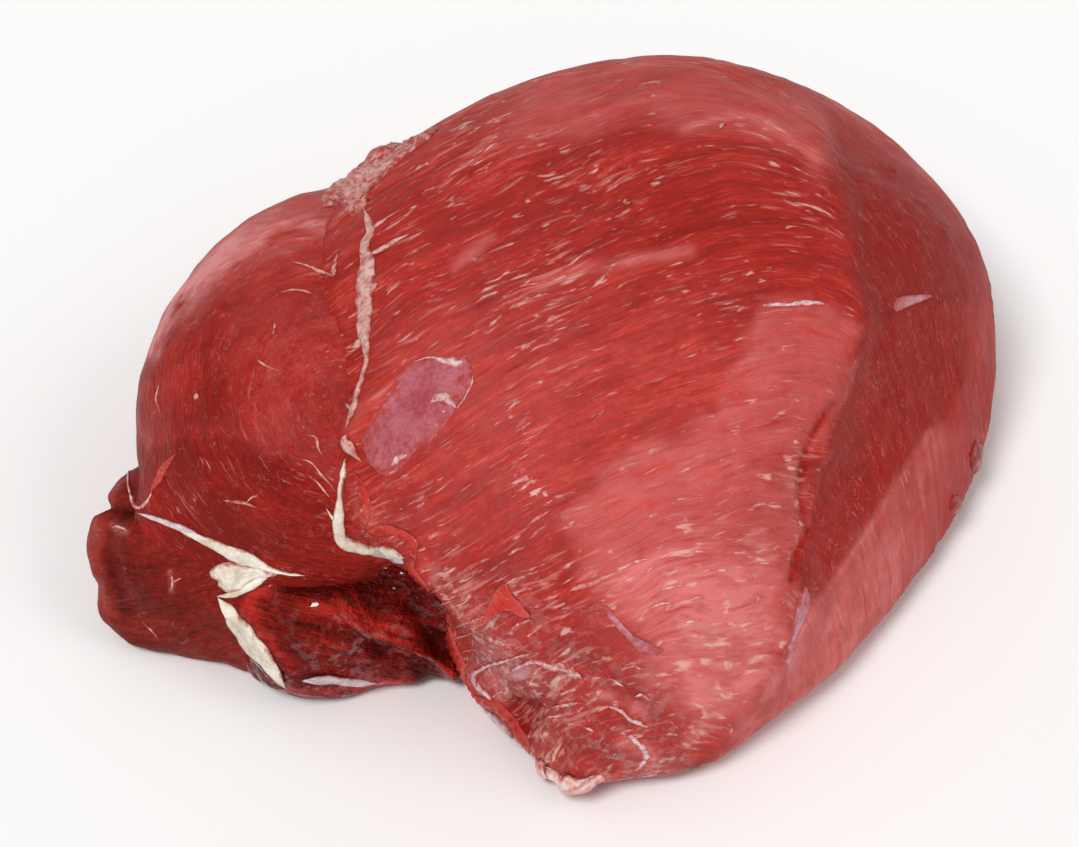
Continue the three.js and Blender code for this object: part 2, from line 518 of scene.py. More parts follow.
def leanTones(points, edge, lean):
    # what the meat material reads on a small piece: its grain and one amount of each tone, more film at its
    # edge
    tones = {key: np.full(len(points), lean.get(key, 0.0)) for key in toneNames}
    tones["filmAndSheen"] = tones["filmAndSheen"] + lean.get("rimFilm", 0) * edge ** 3
    return {**tones, "grain": sheetPlace(points, lean)}


stripStep = 0.7                 # mm between the rows of a strip
lumpiness = 0.25                # how much a strip or fold swells and thins, as a share of its height
rimSunk = 0.3                   # how far the rim of a patch lies under the surface, in mm


def makeStrips(name, strips, material, seed, lean=None):
    # Cords, seams and folds that lie on the muscles. Each is a tube along a path of (pixel x, pixel y,
    # width in mm): across it the section is half an ellipse of the given height above the surface and a
    # shallow one below, its width and height waver with noise, ribs cross it at equal steps, and both ends
    # taper to a point.
    points, faces, edge = [], [], []
    start = 0
    for strip in strips:
        length = curveThrough(strip["path"], 2)[1]
        rows = max(8, int(length * view["mmPerPixel"] / stripStep))
        stops = curveThrough(strip["path"], rows)[0]
        columns = strip.get("columns", 14)
        run = np.gradient(stops[:, :2], axis=0)
        side = unit(np.stack([run[:, 1], -run[:, 0]], 1))
        count = np.arange(rows)
        far = count * length * view["mmPerPixel"] / rows                      # mm along the path
        spot = np.stack([far / 7, np.full(rows, start * 0.37), np.zeros(rows)], 1)
        taper = np.minimum(1, np.minimum(count + 0.6, rows - 0.4 - count) / strip.get("taper", 8)) ** 0.7
        ragged = strip.get("ragged", 0.22)
        waver = [1 + ragged * (valueNoise(spot, seed + k) + 0.45 * valueNoise(spot * 2.7, seed + k + 5))
                 for k in (0, 1)]
        half = stops[:, 2] / 2 / view["mmPerPixel"] * taper
        sway = strip.get("wander", 1.0) * valueNoise(spot * 1.3, seed + 2)
        middle = stops[:, :2] + side * sway[:, None]
        turn = 2 * np.pi * np.arange(columns) / columns
        reach = np.where(np.cos(turn) > 0, np.cos(turn) * waver[0][:, None],
                         np.cos(turn) * waver[1][:, None])
        pixels = middle[:, None, :] + side[:, None, :] * (reach * half[:, None])[..., None]
        ground = meet(pixels, strip.get("on", ("broad",)))
        core = ground[:, [0, columns // 2]].mean(axis=1, keepdims=True)
        ground = core + (ground - core) * strip.get("hug", 1.0)
        outward = outwardAt(ground, strip.get("on", ("broad",)))
        ribs = 1 + strip.get("ribs", 0) * np.sin(2 * np.pi * far / strip.get("ribStep", 3.0))[:, None]
        bump = (1 + lumpiness * valueNoise(ground / 4, seed + 3)) * ribs
        arch = np.abs(np.sin(turn)) ** 0.8
        rise = np.where(np.sin(turn) > 0, strip["high"] * arch, -strip.get("sunk", 0.8) * arch)
        lift = rise[None, :] * bump * taper[:, None]
        body = ground + outward * lift[..., None]
        points += [body.reshape(-1, 3), body[:1].mean(axis=1), body[-1:].mean(axis=1)]
        faces += tubeFaces(rows, columns, start)
        ends = 1 - np.clip(taper, 0, 1) * 0.8                                  # ends stain like edges
        edge += [np.maximum(np.abs(np.cos(turn))[None, :], ends[:, None]).ravel(), [1], [1]]
        start += rows * columns + 2
    points, edge = np.concatenate(points), np.concatenate(edge)
    return makeObject(name, points, faces, material,
                      leanTones(points, edge, lean) if lean else {"edge": edge})


def makePatches(name, patches, material, seed, lean=None):
    # Skins and lumps that lie on the muscles. Each is a closed disc inside an outline of pixels: rings
    # shrink from the outline to its middle on top, and the same rings come back out underneath; the top
    # stands at its height inside and rounds down to the rim, with wrinkles from noise, and a tag's tip can
    # be lifted clear.
    points, faces, edge = [], [], []
    start = 0
    for patch in patches:
        outline = np.array([*patch["outline"], patch["outline"][0]], float)
        steps, rings = patch.get("steps", 96), patch.get("rings", 22)
        rim = curveThrough(outline, steps + 1)[0][:-1]
        middle = np.array(patch.get("middle", rim.mean(axis=0)))
        spot = np.concatenate([rim, np.full((steps, 1), 7.0)], 1)
        ragged = valueNoise(spot / 14, seed) + 0.6 * valueNoise(spot / 5, seed + 4)
        rim = rim + unit(rim - middle) * ragged[:, None] * patch.get("ragged", 2.0)
        share = np.linspace(1, 0, rings + 1)[:-1]
        pixels = middle + (rim[None] - middle) * share[:, None, None]
        ground = meet(pixels, patch["on"])
        outward = outwardAt(ground, patch["on"])
        wrinkle = valueNoise(ground / patch.get("wrinkleSize", 6), seed + 5) * patch.get("wrinkle", 0.2)
        body = (1 - share ** patch.get("crown", 6))[:, None]
        rise = patch["high"] * body ** 0.5 * (1 + wrinkle) - rimSunk * (1 - body)
        if "tip" in patch:
            tip, foot = np.array(patch["tip"], float), np.array(patch["foot"], float)
            reach = np.clip((pixels - foot) @ (tip - foot) / ((tip - foot) @ (tip - foot)), 0, 1)
            rise = rise + patch["tipLift"] * reach ** 1.5
        top = ground + outward * rise[..., None]
        under = top - outward * (patch.get("deep", patch["high"] + 0.8) * body)[..., None]
        # middle of the top, the rim, and back
        both = np.concatenate([top[::-1], under[1:]])
        points += [both.reshape(-1, 3), both[:1].mean(axis=1), both[-1:].mean(axis=1)]
        faces += tubeFaces(len(both), steps, start)
        edge += [np.repeat(np.concatenate([share[::-1], share[1:]]), steps), [0], [0]]
        start += len(both) * steps + 2
    points, edge = np.concatenate(points), np.concatenate(edge)
    return makeObject(name, points, faces, material,
                      leanTones(points, edge, lean) if lean else {"edge": edge})


def addNode(tree, kind, inputs=(), out=0, **settings):
    # one shader node: its settings, its inputs each linked to a socket or set to a value, and the output
    # asked for
    node = tree.nodes.new("ShaderNode" + kind)
    for key, value in settings.items():
        setattr(node, key, value)
    for key, value in inputs.items() if isinstance(inputs, dict) else enumerate(inputs):
        if isinstance(value, bpy.types.NodeSocket):
            tree.links.new(value, node.inputs[key])
        else:
            node.inputs[key].default_value = value
    return None if out is None else node.outputs[out]


bumpDepth = 0.0009              # metres of height that a bump of 1 stands for


def startMaterial(name):
    # an empty material and the function that adds nodes to it
    material = bpy.data.materials.new(name)
    material.use_nodes = True
    material.node_tree.nodes.clear()
    return material, partial(addNode, material.node_tree)


def addNoises(add, streaks, clouds, grain, place):
    # noise fields by name: streaks of length, width, detail, roughness and branching on the grain place in
    # mm, and clouds of size in mm and detail on the object place in metres
    field = {}
    for order, (key, (long, across, detail, rough, branching)) in enumerate(streaks.items()):
        scaled = add("Mapping", {"Vector": grain, "Scale": (1 / long, 1 / across, 1 / long),
                                 "Location": [7.3 * order + 1.7] * 3})
        field[key] = add("TexNoise", {"Vector": scaled, "Scale": 1.0, "Detail": detail, "Roughness": rough,
                                      "Distortion": branching}, out="Fac")
    for order, (key, (size, detail)) in enumerate(clouds.items()):
        moved = add("Mapping", {"Vector": place, "Location": [0.31 * order + 0.17] * 3})
        field[key] = add("TexNoise", {"Vector": moved, "Scale": 1000 / size, "Detail": detail,
                                      "Roughness": 0.6},
                         out="Fac")
    return field


def leanMeat(name, look):
    # Raw beef muscle, cut and trimmed: fibres in bundles give fine dark and bright streaks, the film left
    # on it gives soft pink areas, and the same pink on some rims is painted sheen; marbling gives pale
    # streaks and flecks, and wet places shine in points.
    material, add = startMaterial(name)
    place = add("TexCoord", out="Object")
    grain = add("Attribute", attribute_name="grain", out="Vector")
    stir = add("TexNoise", {"Vector": place, "Scale": 30.0, "Detail": 3.0}, out="Color")
    stir = add("VectorMath", (stir, (0.5, 0.5, 0.5)), operation="SUBTRACT")
    grain = add("VectorMath", (stir, [look["stir"]] * 3, grain), operation="MULTIPLY_ADD")
    filmAndSheen, skin, shade, wet, plain, rich, calm = (add("Attribute", attribute_name=key, out="Fac")
                                                 for key in toneNames)
    field = addNoises(add, {
        "bundle": (52, 6.0, 2, 0.5, 0), "fibre": (20, 1.7, 3, 0.6, 0.1), "hair": (7, 0.7, 2, 0.5, 0),
        "split": (15, 1.3, 1.5, 0.5, 0.1), "brush": (30, 4.5, 3, 0.6, 0.3), "pale": (15, 1.5, 3, 0.55, 0.3),
        "fleck": (9, 1.7, 2.5, 0.6, 0.4), "vein": (8, 3.0, 2, 0.5, 1.2),
    }, {"tone": (42, 4), "veil": (12, 4), "cluster": (38, 2), "grit": (2.6, 2), "moist": (16, 3),
        "glint": (4.5, 3)},
        grain, place)
    centred = {key: add("Math", (socket, 0.5), operation="SUBTRACT") for key, socket in field.items()}

    # short dark splits between the fibres, and hair-fine pale veins where a noise passes its middle
    line = {"split": add("MapRange", {"Value": field["split"], "From Min": 0.56, "From Max": 0.72})}
    gap = add("Math", (centred["vein"],), operation="ABSOLUTE")
    line["vein"] = add("MapRange", {"Value": gap, "From Min": 0.004, "From Max": 0.022, "To Min": 1.0,
                                    "To Max": 0.0})

    # the bundles' light and dark, lower on plain and calm places, and the fine grain over it
    quiet = add("Math", (plain, calm), operation="MAXIMUM")
    quiet = add("Math", (quiet, -look["calm"], 1.0), operation="MULTIPLY_ADD")
    value = add("Math", (line["split"], -look["split"]), operation="MULTIPLY")
    for key, amount in look["tones"].items():
        value = add("Math", (centred[key], amount, value), operation="MULTIPLY_ADD")
    # the shade amount: lighter or darker colour of the meat, which in the creases, hollows, notches and
    # shaded faces marked below is painted shade
    value = add("Math", (value, quiet, shade), operation="MULTIPLY_ADD")
    value = add("Math", (value, 0.5), operation="ADD")
    for key, amount in look["fine"].items():
        value = add("Math", (centred[key], amount, value), operation="MULTIPLY_ADD")
    red = add("ValToRGB", (value,))
    ramp = red.node.color_ramp
    ramp.elements[0].position, ramp.elements[0].color = 0.0, linear(look["dark"])
    ramp.elements[1].position, ramp.elements[1].color = 1.0, linear(look["bright"])
    ramp.elements.new(0.5).color = linear(look["red"])

    # filmAndSheen: thin pink skin, which on some rims is painted sheen, in brushed and cloudy patches, gone
    # along the splits; skin: the same with a sharp edge
    edge = add("Math", (centred["veil"], 1.1, skin), operation="MULTIPLY_ADD")
    edge = add("MapRange", {"Value": edge, "From Min": 0.38, "From Max": 0.62, "To Max": look["skinShow"]})
    veil = add("Math", (filmAndSheen, edge), operation="ADD")
    patchy = add("Math", (centred["brush"], look["patchy"], 1.0), operation="MULTIPLY_ADD")
    patchy = add("Math", (centred["veil"], look["patchy"], patchy), operation="MULTIPLY_ADD")
    patchy = add("Math", (line["split"], -0.2, patchy), operation="MULTIPLY_ADD")
    patchy = add("Math", (centred["fibre"], -1.6, patchy), operation="MULTIPLY_ADD")
    patchy = add("Math", (centred["hair"], -1.4, patchy), operation="MULTIPLY_ADD")
    veil = add("Math", (veil, patchy), operation="MULTIPLY", use_clamp=True)
    colour = add("Mix", {0: veil, 6: red, 7: linear(look["filmAndSheenColour"])}, out=2, data_type="RGBA")

    # marbling: soft pale streaks with the grain, clustered flecks, and fine veins where the grain is hard
    # to see
    crowd = add("Math", (centred["cluster"], 0.3), operation="MULTIPLY")
    crowd = add("Math", (rich, 0.035, crowd), operation="MULTIPLY_ADD")
    crowd = add("Math", (plain, -0.2, crowd), operation="MULTIPLY_ADD")
    streak = add("Math", (field["pale"], crowd), operation="ADD")
    streak = add("MapRange", {"Value": streak, "From Min": look["streakFrom"],
                              "From Max": look["streakFrom"] + 0.14,
                              "To Max": look["streakShow"]})
    fleck = add("Math", (field["fleck"], crowd), operation="ADD")
    fleck = add("MapRange", {"Value": fleck, "From Min": look["fleckFrom"],
                             "From Max": look["fleckFrom"] + 0.11,
                             "To Max": look["fleckShow"]})
    fine = add("Math", (plain, look["veinOnPlain"], look["vein"]), operation="MULTIPLY_ADD")
    some = add("MapRange", {"Value": field["glint"], "From Min": 0.42, "From Max": 0.62})
    fine = add("Math", (fine, some), operation="MULTIPLY")
    fine = add("Math", (fine, line["vein"]), operation="MULTIPLY", use_clamp=True)
    for amount, shown in ((streak, look["streakColour"]), (fine, look["streakColour"]),
                          (fleck, look["fleckColour"])):
        colour = add("Mix", {0: amount, 6: colour, 7: linear(shown)}, out=2, data_type="RGBA")

    relief = add("Math", (field["fibre"], 1.1, field["hair"]), operation="MULTIPLY_ADD")
    relief = add("Math", (line["split"], -0.2, relief), operation="MULTIPLY_ADD")
    grit = add("Math", (wet, 2.4, look["grit"]), operation="MULTIPLY_ADD")
    relief = add("Math", (field["grit"], grit, relief), operation="MULTIPLY_ADD")
    bump = add("Bump", {"Height": relief, "Distance": bumpDepth, "Strength": look["bump"]})
    gloss = add("Math", (centred["moist"], 0.5, look["rough"]), operation="MULTIPLY_ADD")
    gloss = add("Math", (wet, -0.3, gloss), operation="MULTIPLY_ADD")
    gloss = add("Math", (gloss, 0.16), operation="MAXIMUM")
    shine = add("MapRange", {"Value": field["glint"], "From Min": 0.52, "From Max": 0.58})
    shine = add("Math", (shine, wet), operation="MULTIPLY", use_clamp=True)
    shader = add("BsdfPrincipled", {
        "Base Color": colour, "Roughness": gloss, "Normal": bump, "IOR": 1.38,
                                    "Specular IOR Level": look["specular"],
        "Coat Weight": shine, "Coat Roughness": 0.08, "Subsurface Weight": 0.2,
                                    "Subsurface Radius": (1.0, 0.28, 0.16),
        "Subsurface Scale": 0.0028, "Sheen Weight": look["sheen"], "Sheen Roughness": 0.5,
        "Sheen Tint": linear("#f2c4bf"),
    })
    add("OutputMaterial", (shader,), out=None)
    return material


def connective(name, look):
    # Fat, membrane or silverskin: soft and slightly see-through, a little mottled, stained red towards its
    # edge.
    material, add = startMaterial(name)
    place = add("TexCoord", out="Object")
    edge = add("Attribute", attribute_name="edge", out="Fac")
    field = addNoises(add, {}, {"mottle": (look["mottle"], 3), "grain": (1.6, 3), "stain": (3.0, 4)},
                      place, place)
    centred = {key: add("Math", (socket, 0.5), operation="SUBTRACT") for key, socket in field.items()}
    mixed = add("Math", (centred["grain"], 0.5, field["mottle"]), operation="MULTIPLY_ADD")
    fat = add("ValToRGB", (mixed,))
    ramp = fat.node.color_ramp
    ramp.elements[0].position, ramp.elements[0].color = 0.32, linear(look["dark"])
    ramp.elements[1].position, ramp.elements[1].color = 0.62, linear(look["pale"])
    rim = add("Math", (centred["stain"], look["stainRough"], edge), operation="MULTIPLY_ADD")
    stain = add("MapRange", {"Value": rim, "From Min": look["stainFrom"],
                             "From Max": look["stainFrom"] + look["stainOver"],
                             "To Max": look["stainMost"]})
    colour = add("Mix", {0: stain, 6: fat, 7: linear(look["stain"])}, out=2, data_type="RGBA")
    relief = add("Math", (field["mottle"], 0.6, field["grain"]), operation="MULTIPLY_ADD")
    bump = add("Bump", {"Height": relief, "Distance": bumpDepth, "Strength": look["bump"]})
    gloss = add("Math", (centred["mottle"], 0.4, look["rough"]), operation="MULTIPLY_ADD")
    shader = add("BsdfPrincipled", {
        "Base Color": colour, "Roughness": gloss, "Normal": bump, "IOR": 1.45,
                                    "Specular IOR Level": look["specular"],
        "Subsurface Weight": 0.25, "Subsurface Radius": (1.0, 0.6, 0.45), "Subsurface Scale": 0.002,
    })
    add("OutputMaterial", (shader,), out=None)
    return material


grainAxis = unit(np.array([0, 0.72, 0.69]))       # normal of the sheets that the fibres lie in
# grainAxis and the first three bends come from a fit to grain directions measured in the photo
leftBend = {"toward": (-1, 0, 0), "start": -70, "soft": 10, "slope": 0.42}
middleBend = {"toward": (1, 0, 0), "start": -35, "soft": 8, "slope": 0.19}
frontBend = {"toward": (0.528, -0.285, -0.763), "start": -43, "soft": 41, "slope": 0.83}
rightBend = {"toward": (1, 0, 0), "start": 105, "soft": 8, "slope": 1.4}

broadLook = {
    "dark": "#8a170f", "red": "#a8241a", "bright": "#c94238", "filmAndSheenColour": "#dc7876",
    "streakColour": "#d4837a", "fleckColour": "#eabcb0",
    "tones": {"bundle": 0.95, "fibre": 1.35, "tone": 0.9}, "fine": {"hair": 1.1, "grit": 0.6},
             "split": 0.26, "calm": 0.6,
    "skinShow": 0.13, "streakFrom": 0.6, "streakShow": 0.6, "fleckFrom": 0.635, "fleckShow": 0.62,
    "vein": 0.0, "veinOnPlain": 0.5,
    "stir": 2.5, "patchy": 1.3, "bump": 0.55, "grit": 0.25, "rough": 0.5, "specular": 0.12, "sheen": 0.01,
}
sideLook = {
    "dark": "#7c150e", "red": "#a32219", "bright": "#c24338", "filmAndSheenColour": "#d98583",
    "streakColour": "#cf7f77", "fleckColour": "#dfa79e",
    "tones": {"bundle": 0.5, "fibre": 0.6, "tone": 1.6}, "fine": {"hair": 0.7, "grit": 0.6}, "split": 0.1,
            "calm": 0.5,
    "skinShow": 0.25, "streakFrom": 0.64, "streakShow": 0.5, "fleckFrom": 0.68, "fleckShow": 0.5,
    "vein": 0.3, "veinOnPlain": 0.3,
    "stir": 9.0, "patchy": 3.2, "bump": 0.6, "grit": 0.4, "rough": 0.48, "specular": 0.12, "sheen": 0.02,
}
endLook = {
    "dark": "#430c07", "red": "#7b1a12", "bright": "#a5342a", "filmAndSheenColour": "#b0645d",
    "streakColour": "#a94b41", "fleckColour": "#c98a7c",
    "tones": {"bundle": 0.4, "fibre": 0.5, "tone": 1.3}, "fine": {"hair": 0.6, "grit": 0.7}, "split": 0.08,
           "calm": 0.5,
    "skinShow": 0.2, "streakFrom": 0.66, "streakShow": 0.35, "fleckFrom": 0.68, "fleckShow": 0.5,
    "vein": 0.3, "veinOnPlain": 0.3,
    "stir": 14.0, "patchy": 2.5, "bump": 0.6, "grit": 0.5, "rough": 0.5, "specular": 0.12, "sheen": 0.0,
}
# inner muscle: its own darker red, and its dark colours partly painted shade of the pocket under the
# overhang
innerLook = {
    "dark": "#4c0a06", "red": "#7d150e", "bright": "#b82c21", "filmAndSheenColour": "#b85f58",
    "streakColour": "#b04a40", "fleckColour": "#cf9384",
    "tones": {"bundle": 1.3, "fibre": 1.2, "tone": 1.2}, "fine": {"hair": 0.6, "grit": 0.5}, "split": 0.2,
             "calm": 0.5,
    "skinShow": 0.2, "streakFrom": 0.7, "streakShow": 0.4, "fleckFrom": 0.74, "fleckShow": 0.6,
    "vein": 0.0, "veinOnPlain": 0.3,
    "stir": 6.0, "patchy": 2.5, "bump": 1.0, "grit": 1.6, "rough": 0.4, "specular": 0.12, "sheen": 0.0,
}
rimLook = {
    "dark": "#8f150e", "red": "#b3241b", "bright": "#c93c32", "filmAndSheenColour": "#dd9088",
    "streakColour": "#d47d73", "fleckColour": "#e2aba1",
    "tones": {"bundle": 0.9, "fibre": 1.0, "tone": 0.8}, "fine": {"hair": 0.6, "grit": 0.8}, "split": 0.1,
           "calm": 0.5,
    "skinShow": 0.3, "streakFrom": 0.62, "streakShow": 0.5, "fleckFrom": 0.68, "fleckShow": 0.7,
    "vein": 0.1, "veinOnPlain": 0.3,
    "stir": 4.0, "patchy": 2.5, "bump": 0.7, "grit": 0.6, "rough": 0.42, "specular": 0.14, "sheen": 0.0,
}

# outlines and lines of the photo, in its pixels
rightRidge = ((815, 60), (822, 90), (830, 165), (845, 200), (850, 270), (861, 320), (856, 345), (847, 370),
              (831, 417),
              (825, 450))
rightGroove = ((832, 404), (818, 424), (807, 446), (801, 470), (800, 500), (806, 534), (796, 556),
               (790, 580))
lowerRidge = ((793, 584), (785, 640), (764, 685), (742, 718), (712, 750))
facetEdge = ((862, 325), (892, 312), (935, 298), (985, 285))
flankCrease = ((930, 432), (900, 478), (876, 518), (851, 555), (822, 598), (796, 642))
filmArea = ((756, 308), (790, 300), (830, 303), (860, 330), (845, 372), (829, 424), (820, 440), (812, 490),
            (806, 533),
            (796, 556), (790, 590), (780, 645), (760, 686), (738, 716), (700, 740), (668, 690), (645, 650),
            (622, 632),
            (600, 600), (560, 590), (575, 540), (590, 500), (612, 462), (660, 436), (710, 408), (728, 372),
            (742, 340))
paleArea = ((600, 600), (620, 560), (700, 540), (760, 560), (790, 590), (780, 645), (745, 700), (700, 720),
            (668, 690),
            (645, 650), (622, 632))
darkFacet = ((866, 328), (892, 314), (935, 300), (978, 292), (975, 330), (968, 372), (952, 408), (928, 436),
             (900, 478), (870, 525),
             (840, 572), (812, 600), (798, 588), (796, 566), (808, 535), (814, 500), (826, 470),
             (830, 424), (842, 380),
             (854, 350))
cornerArea = ((600, 598), (625, 635), (645, 650), (662, 680), (700, 745), (655, 790), (600, 780),
              (540, 770), (500, 720),
              (470, 690), (448, 650), (428, 600), (440, 560), (500, 560), (560, 590))
topBand = ((480, 150), (560, 140), (640, 116), (700, 128), (745, 125), (800, 150), (822, 180), (818, 60),
           (700, 30),
           (560, 60))
centreArea = ((420, 330), (560, 300), (740, 300), (760, 420), (700, 500), (600, 560), (480, 560),
              (400, 500))
leftArea = ((365, 190), (440, 120), (540, 110), (610, 190), (620, 300), (560, 380), (480, 400), (390, 330),
            (362, 300))
rightUpper = ((822, 40), (830, 165), (845, 200), (850, 270), (862, 325), (892, 312), (935, 298),
              (1010, 290),
              (1000, 220), (910, 120), (860, 70))
rightLower = ((930, 436), (958, 432), (974, 408), (980, 360), (982, 300), (1070, 290), (1070, 430),
              (1010, 540),
              (930, 620), (850, 700), (760, 760), (700, 790), (712, 752), (742, 718), (764, 685),
              (780, 660),
              (796, 642), (822, 598), (851, 555), (876, 518), (900, 478))
topCentre = ((540, 150), (700, 140), (780, 180), (800, 290), (700, 240), (600, 260), (540, 250))
sideRim = ((150, 300), (190, 240), (260, 180), (340, 170), (345, 215), (290, 245), (225, 270), (185, 320))
sideLeft = ((120, 330), (150, 300), (200, 290), (235, 340), (235, 420), (180, 450), (125, 450))
sideFront = ((120, 455), (170, 448), (240, 445), (300, 465), (340, 500), (345, 560), (415, 580),
             (300, 600), (200, 580),
             (120, 520))
lilacZone = ((694, 590), (722, 584), (756, 590), (764, 612), (748, 630), (716, 636), (690, 628))
hazeBand = ((540, 284), (560, 276), (604, 266), (650, 257), (690, 250))
topFascia = ((684, 130), (722, 117), (750, 117), (780, 132), (804, 147), (818, 162))
filmBoundary = ((722, 300), (735, 372), (718, 412), (690, 438), (655, 452))
redPetal = ((352, 474), (364, 490), (370, 508), (366, 528))
redLip = ((347, 436), (352, 422), (364, 408), (384, 395))
cornerNotch = ((516, 713), (526, 724), (534, 716))
cornerCrease = ((524, 744), (551, 743), (576, 750), (600, 760), (612, 769))
flapRim = ((424, 568), (434, 590), (447, 620), (457, 650), (463, 680), (474, 698))
endRim = ((118, 468), (106, 496), (98, 520), (93, 545), (91, 565), (96, 590), (110, 612))
endCrease = ((106, 552), (116, 590), (128, 614))
pouchNotch = ((96, 504), (112, 510), (132, 513))
foldRidge = ((336, 596), (354, 617), (370, 633), (390, 641), (415, 649), (436, 661), (452, 674))
foldHollow = ((378, 652), (400, 662), (430, 676))
upperHollow = ((290, 582), (320, 579), (360, 580), (400, 592), (425, 620), (442, 648))
smallFold = ((352, 590), (360, 604), (372, 622), (384, 630))
pocketRim = ((278, 580), (262, 588), (250, 598), (247, 608), (256, 624), (270, 642), (283, 658), (293, 670))
wetLeft = ((355, 480), (400, 465), (490, 470), (545, 500), (520, 560), (440, 560), (400, 530), (360, 540))

